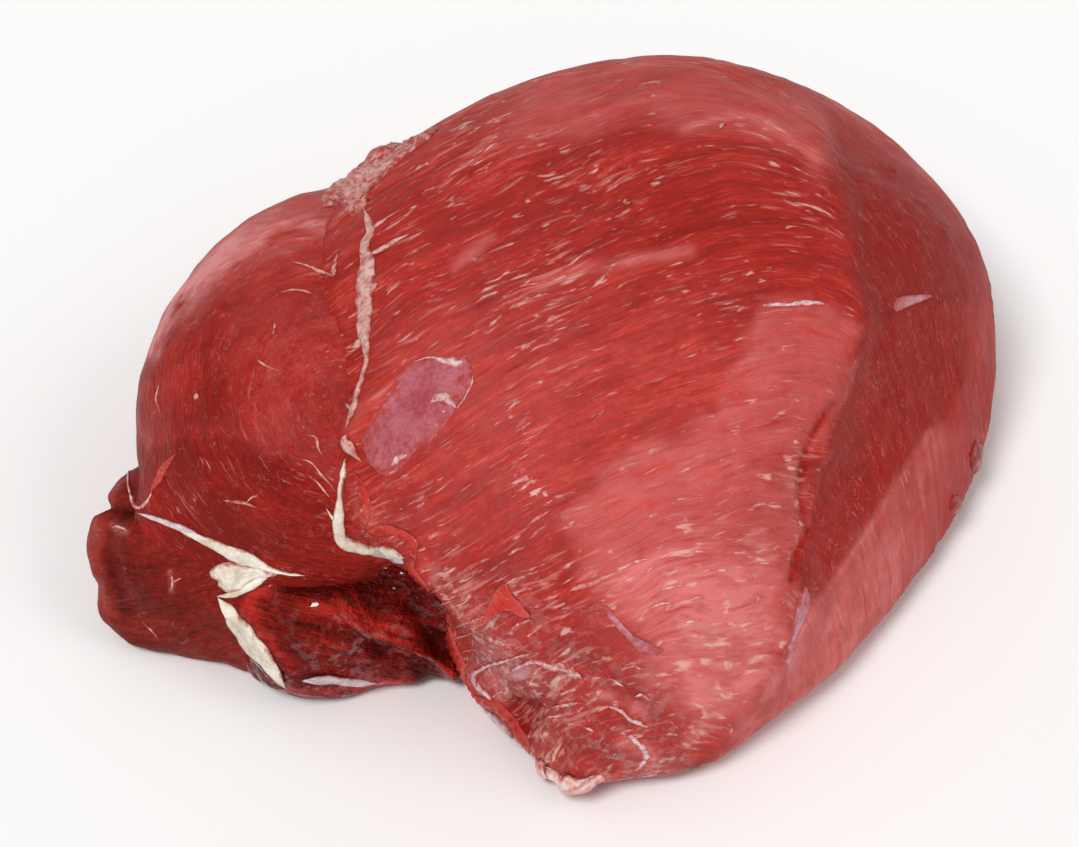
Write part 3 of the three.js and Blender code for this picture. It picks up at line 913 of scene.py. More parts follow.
muscles = {
    "broad": {
        "lobe": "broad", "joined": "corner", "crease": 6, "grain": grainAxis, "seed": 11, "base": 0.0,
              "topShare": 0.55,
        "rings": 540, "steps": 182, "bends": (leftBend, middleBend, frontBend, rightBend),
        "lumps": ((62, 1.4), (27, 0.55), (9, 0.3)),
        "creases": (
            {"path": rightRidge, "height": 1.8, "width": 8, "drop": 4.0, "reach": 50},
            {"path": rightGroove, "height": -1.8, "width": 2},
            {"path": lowerRidge, "height": 1.2, "width": 7, "drop": 1.5, "reach": 24},
            {"path": facetEdge, "height": 1.0, "width": 7},
            {"path": flankCrease, "height": 1.3, "width": 7},
            {"path": cornerNotch, "height": -8.0, "width": 3.2},
            {"path": cornerCrease, "height": -1.8, "width": 2.2},
            {"path": ((500, 590), (520, 622), (552, 641)), "height": -1.6, "width": 2.5},
            {"path": redLip, "height": 3.0, "width": 3.4},
            {"path": redPetal, "height": 2.0, "width": 3.5},
            {"path": ((579, 64), (581, 68)), "height": 2.0, "width": 1.8},
            {"path": ((489, 89), (491, 93)), "height": 2.5, "width": 2.4},
            {"path": ((904, 156), (906, 160)), "height": 2.2, "width": 2.0},
            {"path": ((982, 448), (984, 464)), "height": 3.5, "width": 2.6},
            {"path": ((958, 498), (960, 510)), "height": 3.5, "width": 2.6},
        ),
        "swells": (
            {"place": (125, 84, 129), "reach": 45, "height": -6},
                   {"place": (142, 35, 131), "reach": 40, "height": -3.5},
            {"place": (164, -16, 105), "reach": 40, "height": -3},
                   {"place": (-27, -133, 6), "reach": 22, "height": -4},
            {"place": (-83, -66, 58), "reach": 24, "height": -10},
        ),
        "furrows": ((44, 4.6, 0.45),), "grooves": ((60, 9, 0.3), (26, 2.4, 0.16)),
        "start": {"filmAndSheen": 0.04, "shade": -0.04},
        "areas": (
            {"outline": filmArea, "soft": 4, "filmAndSheen": 0.3, "shade": 0.06, "rich": 0.8, "calm": 0.5,
             "wavy": 2},
            {"outline": paleArea, "soft": 14, "filmAndSheen": 0.38, "calm": 0.2, "rich": 0.8},
            {"outline": lilacZone, "soft": 8, "filmAndSheen": 0.3, "skin": 0.5, "calm": 0.5},
            {"outline": centreArea, "soft": 20, "filmAndSheen": 0.08, "shade": 0.03},
            {"outline": leftArea, "soft": 16, "rich": 1.0, "filmAndSheen": 0.02},
            {"outline": topCentre, "soft": 14, "shade": -0.08},
            # darker, browner tone of the right facet: partly its own colour, partly painted shade of a face
            # turned from the light
            {"outline": rightUpper, "soft": 3, "shade": -0.5, "plain": 1.0, "calm": 0.3},
            {"outline": darkFacet, "soft": 1.5, "filmAndSheen": -0.12, "shade": -0.2, "wavy": 0.4, "plain": 1.0},
            {"outline": rightLower, "soft": 9, "skin": 0.45, "filmAndSheen": 0.3, "shade": 0.06, "wavy": 2.5,
             "plain": 0.5},
            {"outline": cornerArea, "soft": 5, "shade": -0.1, "wet": 0.9, "filmAndSheen": 0.06, "rich": 1.6,
             "wavy": 2},
            {"outline": wetLeft, "soft": 8, "wet": 0.5},
            # painted sheen: pink over the top rim, where the surface turns away at a grazing angle
            {"outline": topBand, "soft": 6, "filmAndSheen": 0.3},
        ),
        "bands": (
            {"path": hazeBand, "width": 2.4, "filmAndSheen": 0.4, "rich": -0.6, "calm": 0.4},
            {"path": ((455, 268), (470, 254), (489, 237)), "width": 2.2, "filmAndSheen": 0.35, "shade": -0.1,
             "rich": -0.6},
            {"path": rightGroove, "width": 1.3, "filmAndSheen": -0.3, "shade": -0.1},
            {"path": flankCrease, "width": 1.2, "filmAndSheen": 0.3},
            {"path": rightRidge, "width": 1.6, "filmAndSheen": 0.05},
            {"path": topFascia, "width": 1.6, "filmAndSheen": 0.35},
            {"path": filmBoundary, "width": 1.2, "shade": -0.05, "filmAndSheen": -0.04},
            {"path": redPetal, "width": 3, "shade": 0.2},
            {"path": redLip, "width": 3, "shade": 0.15, "filmAndSheen": 0.15},
            # painted shade in the crease at the corner's foot
            {"path": cornerCrease, "width": 1.6, "shade": -0.5},
            {"path": ((500, 684), (518, 692), (540, 700), (560, 700)), "width": 3.0, "shade": -0.4},
            {"path": ((556, 640), (585, 656), (610, 668), (640, 686)), "width": 2.6, "shade": -0.35},
            {"path": ((556, 728), (585, 742), (612, 748)), "width": 3.0, "shade": -0.35},
            {"path": ((636, 690), (648, 706), (660, 722)), "width": 2.2, "shade": -0.25},
            {"path": ((600, 694), (622, 702), (646, 716)), "width": 2.2, "filmAndSheen": 0.5, "shade": 0.2},
            {"path": ((626, 742), (642, 750), (652, 760)), "width": 3.0, "filmAndSheen": 0.5, "shade": 0.2},
            {"path": ((486, 676), (500, 688), (496, 700)), "width": 3.0, "filmAndSheen": 0.4},
            {"path": ((690, 676), (700, 688), (696, 700)), "width": 2.2, "filmAndSheen": 0.35},
            # painted shade in the notch
            {"path": cornerNotch, "width": 3.0, "shade": -1.1, "filmAndSheen": -0.2},
            {"path": flapRim, "width": 3.0, "shade": 0.35},
        ),
        "spots": (
            {"place": (-43, -40, 120), "reach": 40, "filmAndSheen": 0.1},
            {"place": (157, 60, 60), "reach": 60, "filmAndSheen": 0.25},
            {"place": (57, 150, 60), "reach": 70, "filmAndSheen": 0.2},
            {"place": (97, -110, 40), "reach": 40, "filmAndSheen": 0.25},
        ),
    },
    "side": {
        "lobe": "side", "grain": grainAxis, "around": (345, 400), "seed": 23, "base": 0.3, "topShare": 0.4,
        "rings": 300, "steps": 200,
        "lumps": ((40, 1.6), (18, 0.8), (7, 0.3)), "creases": (),
        "swells": (
            {"place": (-158, -2, 55), "reach": 18, "height": 11},
                   {"place": (-126, -40, 63), "reach": 20, "height": -4},
        ),
        "furrows": ((30, 5, 0.3),), "grooves": ((40, 7, 0.25), (18, 2.6, 0.15)),
        "start": {"filmAndSheen": 0.06},
        "areas": (
            # pale film on the side muscle's top-left rim, and painted sheen where that rim turns away at a
            # grazing angle
            {"outline": sideRim, "soft": 8, "filmAndSheen": 0.25},
            # painted shade: darker colour over the left part of the side muscle
            {"outline": sideLeft, "soft": 12, "shade": -0.3, "filmAndSheen": -0.05},
            # painted shade: darker colour over the side muscle's front face, which is turned from the light
            {"outline": sideFront, "soft": 5, "filmAndSheen": -0.12, "shade": -0.36},
        ),
        "bands": (
            {"path": ((272, 206), (238, 233), (211, 263), (189, 288), (165, 320), (153, 350)),
             "width": 3.2, "filmAndSheen": 0.7},
            {"path": ((334, 229), (298, 223), (268, 237), (246, 253), (219, 270)), "width": 2.6,
             "filmAndSheen": 0.5},
            {"path": ((146, 385), (148, 425), (148, 450)), "width": 1.4, "filmAndSheen": 0.15},
            # painted shadow: dark band under the side muscle's lower front edge
            {"path": ((160, 520), (210, 556), (262, 576)), "width": 3.0, "shade": -0.3},
        ),
        "spots": (),
    },
    "end": {
        "lobe": "end", "grain": grainAxis, "seed": 37, "base": 0.6, "topShare": 0.3,
        "rings": 160, "steps": 160,
        "lumps": ((30, 1.8), (12, 1.5), (6, 0.6)),
        "creases": (
            {"path": endRim, "height": 2.2, "width": 4.5},
            {"path": endCrease, "height": -2.5, "width": 2.5},
            {"path": pouchNotch, "height": -4.5, "width": 2.6},
        ),
        "furrows": ((20, 5, 0.2),), "grooves": ((20, 4, 0.2),),
        "start": {"shade": -0.06}, "areas": (),
        "bands": (
            {"path": endRim, "width": 3.4, "shade": 0.35, "filmAndSheen": 0.02},
            # painted shade in the crease and in the notch of the end muscle
            {"path": endCrease, "width": 2.0, "shade": -0.3},
            {"path": pouchNotch, "width": 2.0, "shade": -0.5},
            {"path": ((112, 524), (118, 530), (126, 532)), "width": 1.2, "filmAndSheen": 0.7},
            {"path": ((170, 573), (172, 583), (171, 592)), "width": 0.9, "filmAndSheen": 0.8},
        ),
        "spots": (),
    },
    "inner": {
        "lobe": "inner", "grain": unit(np.array([0.45, 0.6, 0.6])), "seed": 41, "base": 0.9,
              "topShare": 0.3,
        "rings": 180, "steps": 140,
        "lumps": ((30, 2.0), (14, 1.2), (6, 0.5)),
        "creases": (
            {"path": foldRidge, "height": 4.0, "width": 2.4},
            {"path": foldHollow, "height": -5.0, "width": 5.0},
            {"path": upperHollow, "height": -5.0, "width": 4.5},
            {"path": pocketRim, "height": 1.8, "width": 2.4},
            {"path": smallFold, "height": 2.2, "width": 1.8},
        ),
        "furrows": ((30, 6, 0.9),), "grooves": ((16, 2.5, 0.4),),
        # darker start: partly the muscle's own colour, partly painted shade of the pocket
        "start": {"wet": 0.9, "shade": -0.1}, "areas": (),
        "bands": (
            {"path": foldRidge, "width": 1.6, "shade": 0.5},
            # painted shade in the hollow under the fold
            {"path": foldHollow, "width": 4.0, "shade": -0.6, "wet": -0.5},
            {"path": smallFold, "width": 1.2, "shade": 0.5},
            {"path": pocketRim, "width": 2.4, "shade": 0.5, "wet": -0.6},
            {"path": ((290, 690), (320, 694), (360, 688), (410, 682)), "width": 2.6, "shade": 0.35,
             "wet": -0.5},
            # painted shade in the recess under the side muscle's overhang
            {"path": upperHollow, "width": 5.0, "shade": -0.7, "wet": -0.6},
        ),
        "spots": (),
    },
    "saddle": {
        "lobe": "saddle", "grain": grainAxis, "seed": 53, "base": 1.2, "topShare": 0.3,
        "rings": 120, "steps": 120,
        "lumps": ((20, 2.0), (8, 1.2), (4, 0.6)), "creases": (),
        "furrows": (), "grooves": ((12, 3, 0.4),),
        "start": {"filmAndSheen": 0.4}, "areas": (), "bands": (), "spots": (),
    },
}

leanBroad = leanMeat("raw beef, long-grained", broadLook)
leanSide = leanMeat("raw beef, side muscle", sideLook)
leanEnd = leanMeat("raw beef, dark end", endLook)
leanInner = leanMeat("raw beef, wet inner muscle", innerLook)
leanRim = leanMeat("raw beef, fresh cut edge", rimLook)

makeMuscle("broadMuscle", muscles["broad"], leanBroad)
makeMuscle("sideMuscle", muscles["side"], leanSide)
makeMuscle("endMuscle", muscles["end"], leanEnd)
makeMuscle("innerMuscle", muscles["inner"], leanInner)
makeMuscle("saddleTissue", muscles["saddle"], leanSide)
for muscle in muscles.values():
    muscle["table"] = radiusTable(muscle)
print("muscles done")


seamFat = connective("seam fat", {
    "dark": "#b3685e", "pale": "#ddb3aa", "mottle": 4, "stain": "#a4332a", "stainRough": 2.4,
                                  "stainFrom": 0.6,
    "stainOver": 0.45, "stainMost": 0.95, "bump": 0.6, "rough": 0.45, "specular": 0.3,
})
looseTissue = connective("loose meshy tissue", {
    "dark": "#a83a33", "pale": "#dba69f", "mottle": 2.6, "stain": "#a8352c", "stainRough": 2.6,
                                                "stainFrom": 0.55,
    "stainOver": 0.5, "stainMost": 0.9, "bump": 0.9, "rough": 0.45, "specular": 0.2,
})
creamFat = connective("firm cream fat", {
    "dark": "#cdbba6", "pale": "#f1eadc", "mottle": 9, "stain": "#a83a2e", "stainRough": 1.2,
                                         "stainFrom": 0.76,
    "stainOver": 0.3, "stainMost": 0.85, "bump": 0.45, "rough": 0.4, "specular": 0.35,
})
membrane = connective("bluish membrane", {
    "dark": "#b59ba3", "pale": "#ddd2d6", "mottle": 6, "stain": "#8e2c26", "stainRough": 1.2,
                                          "stainFrom": 0.6,
    "stainOver": 0.5, "stainMost": 0.9, "bump": 0.4, "rough": 0.35, "specular": 0.35,
})
whiteVeins = connective("white connective tissue", {
    "dark": "#c07a7a", "pale": "#e6cbcd", "mottle": 3, "stain": "#b23b33", "stainRough": 3.4,
                                                    "stainFrom": 0.25,
    "stainOver": 0.7, "stainMost": 1.0, "bump": 0.5, "rough": 0.4, "specular": 0.3,
})
cornerFat = connective("pink corner fat", {
    "dark": "#d98f8a", "pale": "#f0dcd6", "mottle": 6, "stain": "#bd4b43", "stainRough": 1.4,
                                           "stainFrom": 0.7,
    "stainOver": 0.4, "stainMost": 0.95, "bump": 0.6, "rough": 0.4, "specular": 0.3,
})
paleStreaks = connective("pale streaks in the grain", {
    "dark": "#b9483f", "pale": "#d48a82", "mottle": 3, "stain": "#b0362d", "stainRough": 2.0,
                                                       "stainFrom": 0.4,
    "stainOver": 0.6, "stainMost": 1.0, "bump": 0.5, "rough": 0.45, "specular": 0.2,
})
threadTissue = connective("threads in the side muscle", {
    "dark": "#bb655b", "pale": "#dfaaa0", "mottle": 3, "stain": "#9a2e26", "stainRough": 3.0,
        "stainFrom": 0.35,
    "stainOver": 0.6, "stainMost": 1.0, "bump": 0.5, "rough": 0.45, "specular": 0.2,
})
filmThreads = connective("pale threads in the film", {
    "dark": "#d67f78", "pale": "#efcabf", "mottle": 3, "stain": "#cd635d", "stainRough": 3.0,
                                                      "stainFrom": 0.3,
    "stainOver": 0.6, "stainMost": 1.0, "bump": 0.4, "rough": 0.45, "specular": 0.2,
})
silverskin = connective("silverskin", {
    "dark": "#a8434a", "pale": "#c06c77", "mottle": 14, "stain": "#ad3c35", "stainRough": 2.2,
                                       "stainFrom": 0.66,
    "stainOver": 0.5, "stainMost": 1.0, "bump": 0.5, "rough": 0.36, "specular": 0.3,
})
lilacFilm = connective("lilac film", {
    "dark": "#ad5862", "pale": "#c98a96", "mottle": 5, "stain": "#b44540", "stainRough": 2.2,
                                      "stainFrom": 0.4,
    "stainOver": 0.55, "stainMost": 1.0, "bump": 0.35, "rough": 0.36, "specular": 0.3,
})

both = ["broad", "side"]
low = ["side", "end", "inner"]

makeStrips("seamFatStrips", (
    {"path": ((363, 207, 1.0), (368, 218, 2.6), (370, 232, 3.0), (366, 246, 3.4), (368, 262, 5.4),
              (366, 280, 6.6),
              (365, 300, 6.4), (364, 318, 5.6), (363, 334, 5.2), (366, 348, 3.0), (367, 360, 1.9),
              (362, 378, 1.7),
              (355, 402, 1.7), (348, 420, 1.6), (345, 427, 1)),
     "high": 0.8, "on": both, "ragged": 0.3},
    {"path": ((370, 254, 2.6), (382, 248, 2.2), (394, 241, 1.6), (410, 233, 0.8)), "high": 0.5, "on": both},
    {"path": ((368, 231, 1.6), (378, 224, 1.6), (388, 217, 0.8)), "high": 0.4, "on": both},
    {"path": ((364, 336, 3), (357, 344, 3.2), (351, 348, 1.8)), "high": 0.6, "on": both, "taper": 4},
    {"path": ((350, 409, 1.4), (346, 403, 0.8)), "high": 0.4, "on": both, "taper": 3},
    {"path": ((347, 433, 2.4), (344, 441, 4.2), (349, 449, 4.4), (356, 455, 3.0), (362, 461, 1.8)),
     "high": 1.2, "on": both},
), seamFat, 101)

makePatches("meshyTissue", (
    {"outline": ((318, 198), (328, 188), (340, 177), (354, 168), (378, 150), (404, 139), (430, 130),
                 (440, 124),
                 (428, 140), (410, 153), (394, 166), (380, 180), (370, 196), (364, 208), (352, 214),
                 (338, 208),
                 (326, 206)), "high": 0.8, "on": ["broad", "side", "saddle"], "crown": 14, "ragged": 3.5,
     "wrinkle": 1.6, "wrinkleSize": 3, "steps": 220, "rings": 44, "middle": (362, 184), "deep": 2.0},
), looseTissue, 105)

makeStrips("creamFatStrips", (
    {"path": ((345, 459, 0.8), (343, 474, 1.5), (341, 490, 2.0), (340, 504, 2.8), (339, 518, 3.8),
              (339, 530, 4.6),
              (344, 541, 4.8), (356, 547, 3.8), (368, 549, 3.6), (380, 551, 4.0), (394, 554, 3.6),
              (404, 558, 1.8)),
     "high": 1.3, "on": both, "ragged": 0.25, "columns": 18},
    {"path": ((326, 508, 0.8), (331, 516, 1.6), (337, 525, 2.4)), "high": 0.8, "on": both},
    {"path": ((384, 568, 1.0), (394, 571, 2.6), (404, 574, 3.4), (414, 578, 1.4)), "high": 0.8, "on": both},
    {"path": ((174, 527, 1.0), (188, 533, 1.6), (204, 540, 2.5), (215, 545, 3.2), (227, 551, 4.2),
              (240, 557, 5.0),
              (252, 562, 4.6), (262, 567, 3.4), (272, 571, 2.2), (284, 573, 1.2), (305, 575, 0.7)),
     "high": 1.0,
     "on": low, "ragged": 0.2},
    {"path": ((218, 597, 1.4), (223, 604, 3.6), (230, 613, 5.0), (239, 627, 6.4), (250, 641, 7.6),
              (261, 655, 7.0),
              (271, 667, 5.2), (279, 678, 3.2), (286, 688, 1.6)), "high": 1.1, "on": low, "ragged": 0.24,
     "columns": 18},
    {"path": ((217, 597, 1.8), (227, 596, 2.6), (237, 593, 3.2), (250, 586, 3.4), (262, 579, 3.0),
              (273, 573, 1.8)),
     "high": 1.0, "on": low, "ragged": 0.16},
), creamFat, 111)
makePatches("fatLump", (
    {"outline": ((209, 572), (213, 567), (222, 563), (231, 562), (243, 565), (254, 566), (264, 567),
                 (274, 569),
                 (279, 574), (270, 577), (261, 578), (249, 584), (240, 591), (228, 593), (219, 587),
                 (217, 581),
                 (211, 577)), "high": 2.2, "on": low, "crown": 2.2, "ragged": 0.8},
), creamFat, 117)

makeStrips("membraneStrips", (
    {"path": ((136, 513, 0.8), (147, 516, 1.5), (158, 520, 1.8), (170, 525, 2.2), (183, 530, 2.6),
              (194, 535, 2.8),
              (204, 541, 2.0)), "high": 0.7, "on": low, "ragged": 0.2},
    {"path": ((383, 552, 1.4), (390, 556, 3.0), (398, 560, 3.4), (404, 563, 1.8)), "high": 1.0, "on": both,
     "ragged": 0.4, "taper": 4},
    {"path": ((302, 681, 1.8), (318, 680, 3.0), (335, 681, 3.2), (352, 682, 3.0), (368, 683, 2.0),
              (378, 684, 1.0)),
     "high": 0.5, "on": low, "ragged": 0.25},
    {"path": ((472, 704, 2.0), (484, 714, 3.4), (497, 726, 4.4), (506, 741, 4.6), (513, 756, 4.6),
              (520, 769, 4.0),
              (528, 782, 2.4)), "high": 0.8, "on": ["broad"], "ragged": 0.2, "hug": 0.9, "sunk": 2.0},
), membrane, 121)

makePatches("silverskinPatch", (
    {"outline": ((368, 462), (361, 446), (372, 420), (385, 400), (398, 380), (412, 362), (436, 355),
                 (462, 358),
                 (471, 366), (470, 386), (458, 402), (452, 416), (440, 436), (416, 452), (396, 470),
                 (378, 474)),
     "high": 0.2, "on": ["broad"], "crown": 40, "ragged": 5.0, "steps": 220, "rings": 44, "deep": 1.0},
), silverskin, 131)
makePatches("lilacPatches", (
    {"outline": ((890, 308), (898, 298), (912, 295), (934, 295), (920, 302), (905, 308), (895, 312)),
     "high": 0.25,
     "on": ["broad"], "crown": 12, "ragged": 0.8},
    {"outline": ((800, 600), (806, 586), (811, 600), (806, 618), (798, 636), (792, 652), (788, 672),
                 (785, 684), (786, 660),
                 (791, 636), (795, 616)), "high": 0.25, "on": ["broad"], "crown": 12, "ragged": 0.8,
     "middle": (798, 628)},
    {"outline": ((505, 676), (512, 670), (522, 666), (536, 664), (534, 672), (530, 678), (518, 681),
                 (508, 681)),
     "high": 0.25, "on": ["broad"], "crown": 12, "ragged": 1.2},
    {"outline": ((601, 606), (608, 608), (618, 619), (630, 632), (640, 644), (652, 648), (664, 650),
                 (656, 655),
                 (642, 654), (630, 642), (618, 629), (608, 617)), "high": 0.2, "on": ["broad"], "crown": 12,
     "ragged": 2.5},
), lilacFilm, 137)

makeStrips("whiteVeins", (
    {"path": ((536, 651, 0.6), (513, 658, 0.8), (499, 663, 1.2), (484, 668, 1.8), (475, 675, 2.2),
              (478, 686, 2.3),
              (488, 695, 2.2), (491, 700, 2.0), (485, 704, 1.0)), "high": 0.5},
    {"path": ((506, 676, 0.8), (514, 669, 1.2), (525, 665, 1.6), (536, 663, 2.0), (551, 668, 2.3),
              (563, 668, 3.0),
              (573, 672, 3.1), (584, 679, 1.4)), "high": 0.5, "ragged": 0.5},
    {"path": ((492, 699, 1.4), (500, 692, 1.6), (508, 690, 0.8)), "high": 0.4, "ragged": 0.5},
    {"path": ((610, 678, 0.8), (616, 682, 1.6), (626, 688, 1.1)), "high": 0.4},
    {"path": ((604, 705, 1.2), (614, 709, 2.0), (622, 713, 1.8), (630, 720, 1.5), (640, 724, 1.9),
              (650, 728, 0.6)),
     "high": 0.45, "ragged": 0.5},
    {"path": ((619, 732, 1.2), (631, 736, 2.0), (641, 746, 2.2), (647, 754, 2.6), (643, 762, 1.9),
              (636, 768, 1.6),
              (626, 769, 1.0)), "high": 0.5, "ragged": 0.45},
    {"path": ((647, 754, 1.8), (655, 755, 1.2), (662, 754, 0.6)), "high": 0.4},
    {"path": ((634, 697, 1.1), (643, 694, 2.2), (652, 702, 0.8)), "high": 0.4},
    {"path": ((634, 668, 0.7), (640, 669, 1.4), (645, 667, 0.6)), "high": 0.3},
    {"path": ((668, 719, 0.6), (673, 724, 1.1), (678, 728, 0.6)), "high": 0.3},
    {"path": ((546, 718, 0.6), (555, 716, 1.0), (565, 716, 0.6)), "high": 0.3},
    {"path": ((549, 709, 0.6), (562, 705, 1.2), (574, 703, 1.1), (584, 702, 0.6)), "high": 0.3,
     "ragged": 0.6},
    {"path": ((583, 726, 0.6), (590, 729, 1.4), (594, 731, 0.7)), "high": 0.4, "taper": 4},
    {"path": ((511, 628, 1.6), (520, 624, 2.8), (530, 620, 1.6)), "high": 0.3, "ragged": 0.5},
    {"path": ((758, 306, 0.8), (770, 305, 1.8), (790, 305, 1.4), (800, 303, 1.9), (818, 303, 1.9),
              (830, 306, 0.8)),
     "high": 0.3, "wander": 0.3, "ragged": 0.2},
    {"path": ((412, 362, 0.6), (430, 357, 0.9), (444, 361, 2.6), (460, 363, 3.6), (470, 366, 1.6)),
     "high": 0.4},
    {"path": ((470, 368, 0.5), (472, 380, 0.7), (466, 396, 0.7), (457, 410, 0.5)), "high": 0.1,
     "wander": 1.6,
     "ragged": 0.6},
    {"path": ((430, 404, 2.4), (438, 397, 4.4), (448, 400, 5.0), (455, 408, 3.0)), "high": 0.6},
    {"path": ((436, 412, 1.8), (444, 411, 2.8), (452, 412, 1.6)), "high": 0.4},
    {"path": ((385, 398, 0.7), (397, 388, 1.2), (412, 379, 0.8)), "high": 0.2, "ragged": 0.6},
    {"path": ((388, 470, 1.6), (396, 461, 3.4), (405, 456, 3.0), (412, 452, 1.2)), "high": 0.35,
     "ragged": 0.6},
    {"path": ((716, 131, 1.4), (721, 126, 2.8), (727, 121, 1.8)), "high": 0.6},
), whiteVeins, 141)
makeStrips("sideThreads", (
    {"path": ((292, 262, 0.5), (303, 265, 0.8), (314, 269, 1.4), (326, 273, 1.5), (334, 277, 1.9)),
     "high": 0.35,
     "on": both},
    {"path": ((334, 276, 2.2), (334, 265, 1.7), (337, 254, 0.8)), "high": 0.35, "on": both, "taper": 4},
    {"path": ((280, 292, 0.6), (292, 290, 1.1), (304, 291, 0.8), (318, 297, 0.5)), "high": 0.3,
     "on": ["side"]},
    {"path": ((275, 321, 0.7), (274, 328, 1.1), (272, 334, 0.7)), "high": 0.3, "on": ["side"], "taper": 4},
    {"path": ((252, 354, 0.5), (258, 361, 0.8), (266, 366, 1.0), (280, 370, 0.7)), "high": 0.3,
     "on": ["side"]},
    {"path": ((197, 393, 1.0), (197, 397, 1.6), (196, 401, 0.8)), "high": 0.6, "on": ["side"], "taper": 3},
    {"path": ((159, 383, 0.4), (157, 399, 0.7), (161, 415, 0.4)), "high": 0.25, "on": ["side"]},
    {"path": ((222, 500, 0.6), (232, 501, 1.3), (246, 503, 1.4), (258, 508, 0.8)), "high": 0.35,
     "on": ["side"]},
    {"path": ((169, 572, 0.4), (172, 579, 0.9), (172, 586, 0.8), (170, 593, 0.4)), "high": 0.3,
     "on": ["end"], "taper": 4},
    {"path": ((172, 583, 0.8), (177, 580, 1.0), (183, 577, 0.5)), "high": 0.3, "on": ["end"], "taper": 4},
    {"path": ((112, 528, 0.7), (116, 526, 1.2), (124, 528, 1.0), (128, 532, 0.5)), "high": 0.4,
     "on": ["end"], "taper": 4},
    {"path": ((143, 622, 0.4), (150, 630, 0.8), (158, 640, 0.4)), "high": 0.25, "on": ["end"]},
    {"path": ((305, 435, 0.5), (315, 437, 1.0), (318, 448, 1.2), (324, 457, 0.5)), "high": 0.35,
     "on": ["side"]},
    {"path": ((298, 458, 0.4), (309, 462, 0.8), (318, 470, 1.0), (330, 485, 0.8), (336, 494, 0.4)),
     "high": 0.3, "on": both},
    {"path": ((308, 474, 0.4), (316, 482, 0.8), (327, 495, 0.8), (334, 503, 0.4)), "high": 0.3, "on": both},
    {"path": ((245, 503, 0.9), (252, 497, 0.8), (258, 496, 0.5)), "high": 0.3, "on": ["side"], "taper": 3},
), threadTissue, 145)
makeStrips("paleDashes", (
    {"path": ((567, 592, 1.0), (577, 588, 2.2), (588, 585, 2.4), (600, 579, 2.2), (611, 574, 1.6),
              (620, 570, 0.8)), "high": 0.3},
    {"path": ((525, 526, 0.8), (539, 518, 1.8), (553, 510, 0.8)), "high": 0.25},
    {"path": ((452, 629, 0.7), (463, 624, 1.1), (475, 620, 1.1), (487, 615, 0.7)), "high": 0.3},
    {"path": ((440, 560, 0.6), (451, 552, 1.1), (463, 544, 0.7)), "high": 0.25},
    {"path": ((457, 575, 0.6), (467, 570, 1.3), (478, 565, 0.7)), "high": 0.25},
    {"path": ((522, 574, 0.6), (533, 569, 1.3), (544, 564, 0.6)), "high": 0.25},
    {"path": ((490, 584, 0.6), (501, 579, 1.1), (512, 573, 0.6)), "high": 0.25},
    {"path": ((428, 594, 0.6), (446, 585, 1.1), (464, 577, 0.6)), "high": 0.25},
    {"path": ((433, 607, 0.6), (446, 602, 1.0), (459, 598, 0.6)), "high": 0.25},
    {"path": ((446, 642, 0.6), (460, 637, 1.0), (476, 633, 0.6)), "high": 0.25},
    {"path": ((457, 655, 0.6), (468, 650, 1.0), (480, 648, 0.6)), "high": 0.25},
), paleStreaks, 147)
filmDashPaths = (
    ((684, 555, 0.8), (696, 552, 1.8), (709, 553, 0.8)),
    ((625, 564, 0.7), (636, 562, 1.4), (648, 559, 0.7)),
    ((648, 608, 0.7), (660, 605, 1.6), (673, 603, 0.7)),
    ((680, 624, 0.8), (690, 621, 2.2), (702, 619, 0.8)),
    ((660, 590, 0.6), (672, 587, 1.2), (684, 585, 0.6)),
    ((686, 601, 0.6), (697, 598, 1.4), (708, 597, 0.6)),
    ((706, 571, 0.6), (720, 570, 1.3), (734, 569, 0.6)),
    ((640, 520, 0.6), (652, 516, 1.4), (664, 513, 0.6)),
    ((690, 500, 0.6), (700, 497, 1.6), (711, 496, 0.6)),
)
makeStrips("filmDashes", [{"path": path, "high": 0.2} for path in filmDashPaths], filmThreads, 149)

# lips, folds and tags of meat at the muscles' edges
rim = {"grain": unit(np.array([0.8, 0.5, 0.3])), "seed": 61, "wet": 0.5, "shade": 0.15, "rimFilm": 0.2}
flapEdge = ((362, 538, 2.4), (373, 533, 3.1), (386, 531, 3.4), (400, 534, 3.4), (414, 543, 3.4),
            (414, 556, 3.1),
            (412, 568, 3.1), (418, 581, 3.4), (427, 594, 3.4), (435, 608, 3.6), (442, 622, 3.6),
            (449, 638, 3.8),
            (454, 654, 4.1), (458, 672, 4.8), (462, 688, 5.3), (470, 698, 4.6), (482, 703, 3.6),
            (495, 707, 3.4),
            (506, 716, 3.4), (516, 729, 3.4), (523, 743, 3.4), (529, 757, 2.9))
makeStrips("flapEdge", (
    {"path": flapEdge, "high": 0.9, "sunk": 1.5, "on": ["broad"], "ribs": 0.25, "ribStep": 3.1,
     "ragged": 0.35},
    {"path": ((352, 470, 1.6), (362, 486, 2.2), (367, 504, 2.4), (364, 522, 2.4), (360, 538, 2.0)),
     "high": 0.9,
     "on": ["broad"], "ragged": 0.3},
    {"path": ((150, 493, 1.6), (158, 480, 2.4), (167, 466, 2.4), (177, 454, 1.2)), "high": 1.0,
     "on": ["side"]},
), leanRim, 151, rim)
makeStrips("pouchEdge", (
    {"path": ((129, 466, 0.8), (129, 478, 1.0), (130, 492, 1.0), (135, 505, 1.2), (141, 507, 1.2),
              (147, 500, 1.0),
              (151, 492, 0.8)), "high": 0.8, "on": ["side", "end"]},
), whiteVeins, 157)

makePatches("triangularTag", (
    {"outline": ((503, 582), (508, 586), (515, 597), (523, 607), (531, 617), (524, 617), (514, 611),
                 (501, 610),
                 (494, 614), (488, 619), (488, 608), (491, 598), (496, 589)), "high": 1.4, "on": ["broad"],
     "crown": 5,
     "ragged": 0.5, "deep": 2.4, "foot": (512, 600), "tip": (488, 619), "tipLift": 3.5, "steps": 90,
     "rings": 16},
), leanRim, 171, rim)

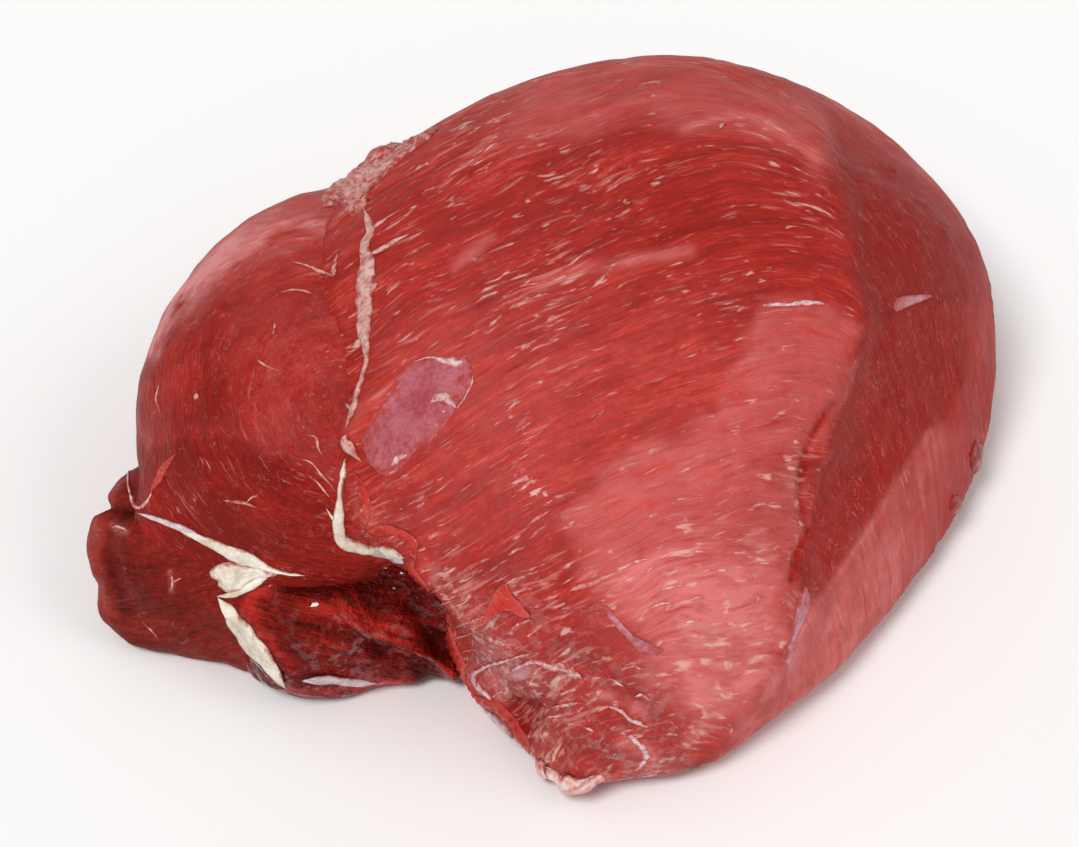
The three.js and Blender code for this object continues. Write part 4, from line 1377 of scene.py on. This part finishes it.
makePatches("edgeNubs", (
    {"outline": ((976, 438), (982, 444), (985, 456), (983, 468), (977, 475), (971, 466), (972, 450)),
     "high": 1.2,
     "on": ["broad"], "crown": 2, "ragged": 2.5, "deep": 4.0, "steps": 48, "rings": 12},
    {"outline": ((952, 493), (959, 496), (962, 505), (958, 514), (951, 512), (949, 503)), "high": 1.2,
     "on": ["broad"], "crown": 2, "ragged": 2.2, "deep": 4.0, "steps": 48, "rings": 12},
), leanRim, 173, {**rim, "shade": -0.35, "rimFilm": 0})

makePatches("cornerFat", (
    {"outline": ((530, 766), (535, 759), (543, 761), (549, 770), (556, 776), (568, 774), (584, 778),
                 (600, 774),
                 (606, 777), (592, 783), (580, 787), (572, 794), (556, 797), (541, 796), (533, 790),
                 (529, 778)),
     "high": 4.5, "on": ["broad"], "crown": 2.4, "ragged": 1.8, "deep": 5.0, "wrinkle": 0.7},
), cornerFat, 177)

print("fat, seams and folds done")

floorLook = {"colour": "#f8f8f7", "rough": 0.9, "size": 12, "height": -0.0002}
worldStrength = 0.45
lampDistance = 2

floorMaterial = bpy.data.materials.new("pale floor")
floorMaterial.use_nodes = True
floorShader = floorMaterial.node_tree.nodes["Principled BSDF"]
floorShader.inputs["Base Color"].default_value = linear(floorLook["colour"])
floorShader.inputs["Roughness"].default_value = floorLook["rough"]
bpy.ops.mesh.primitive_plane_add(size=floorLook["size"], location=(0, 0, floorLook["height"]))
floor = bpy.context.object
floor.name = "floor"
floor.data.materials.append(floorMaterial)

world = bpy.data.worlds.new("studio")
world.use_nodes = True
world.node_tree.nodes["Background"].inputs[0].default_value = (1, 1, 1, 1)
world.node_tree.nodes["Background"].inputs[1].default_value = worldStrength
bpy.context.scene.world = world

lamps = {
    "key": {"turn": 225, "tilt": 58, "spread": 18, "strength": 1.85},
    "fill": {"turn": 320, "tilt": 50, "spread": 30, "strength": 0.4},
}
for name, lamp in lamps.items():
    data = bpy.data.lights.new(name, "SUN")
    data.angle, data.energy = np.radians(lamp["spread"]), lamp["strength"]
    out = bearing(lamp["turn"], lamp["tilt"])
    sideways = unit(np.cross(up, out))
    turned = np.stack([sideways, np.cross(out, sideways), out], 1)
    light = bpy.data.objects.new(name, data)
    light.matrix_world = placing(turned, out * lampDistance)
    bpy.context.scene.collection.objects.link(light)

bpy.context.scene.view_settings.view_transform = "Standard"
print("stage set")
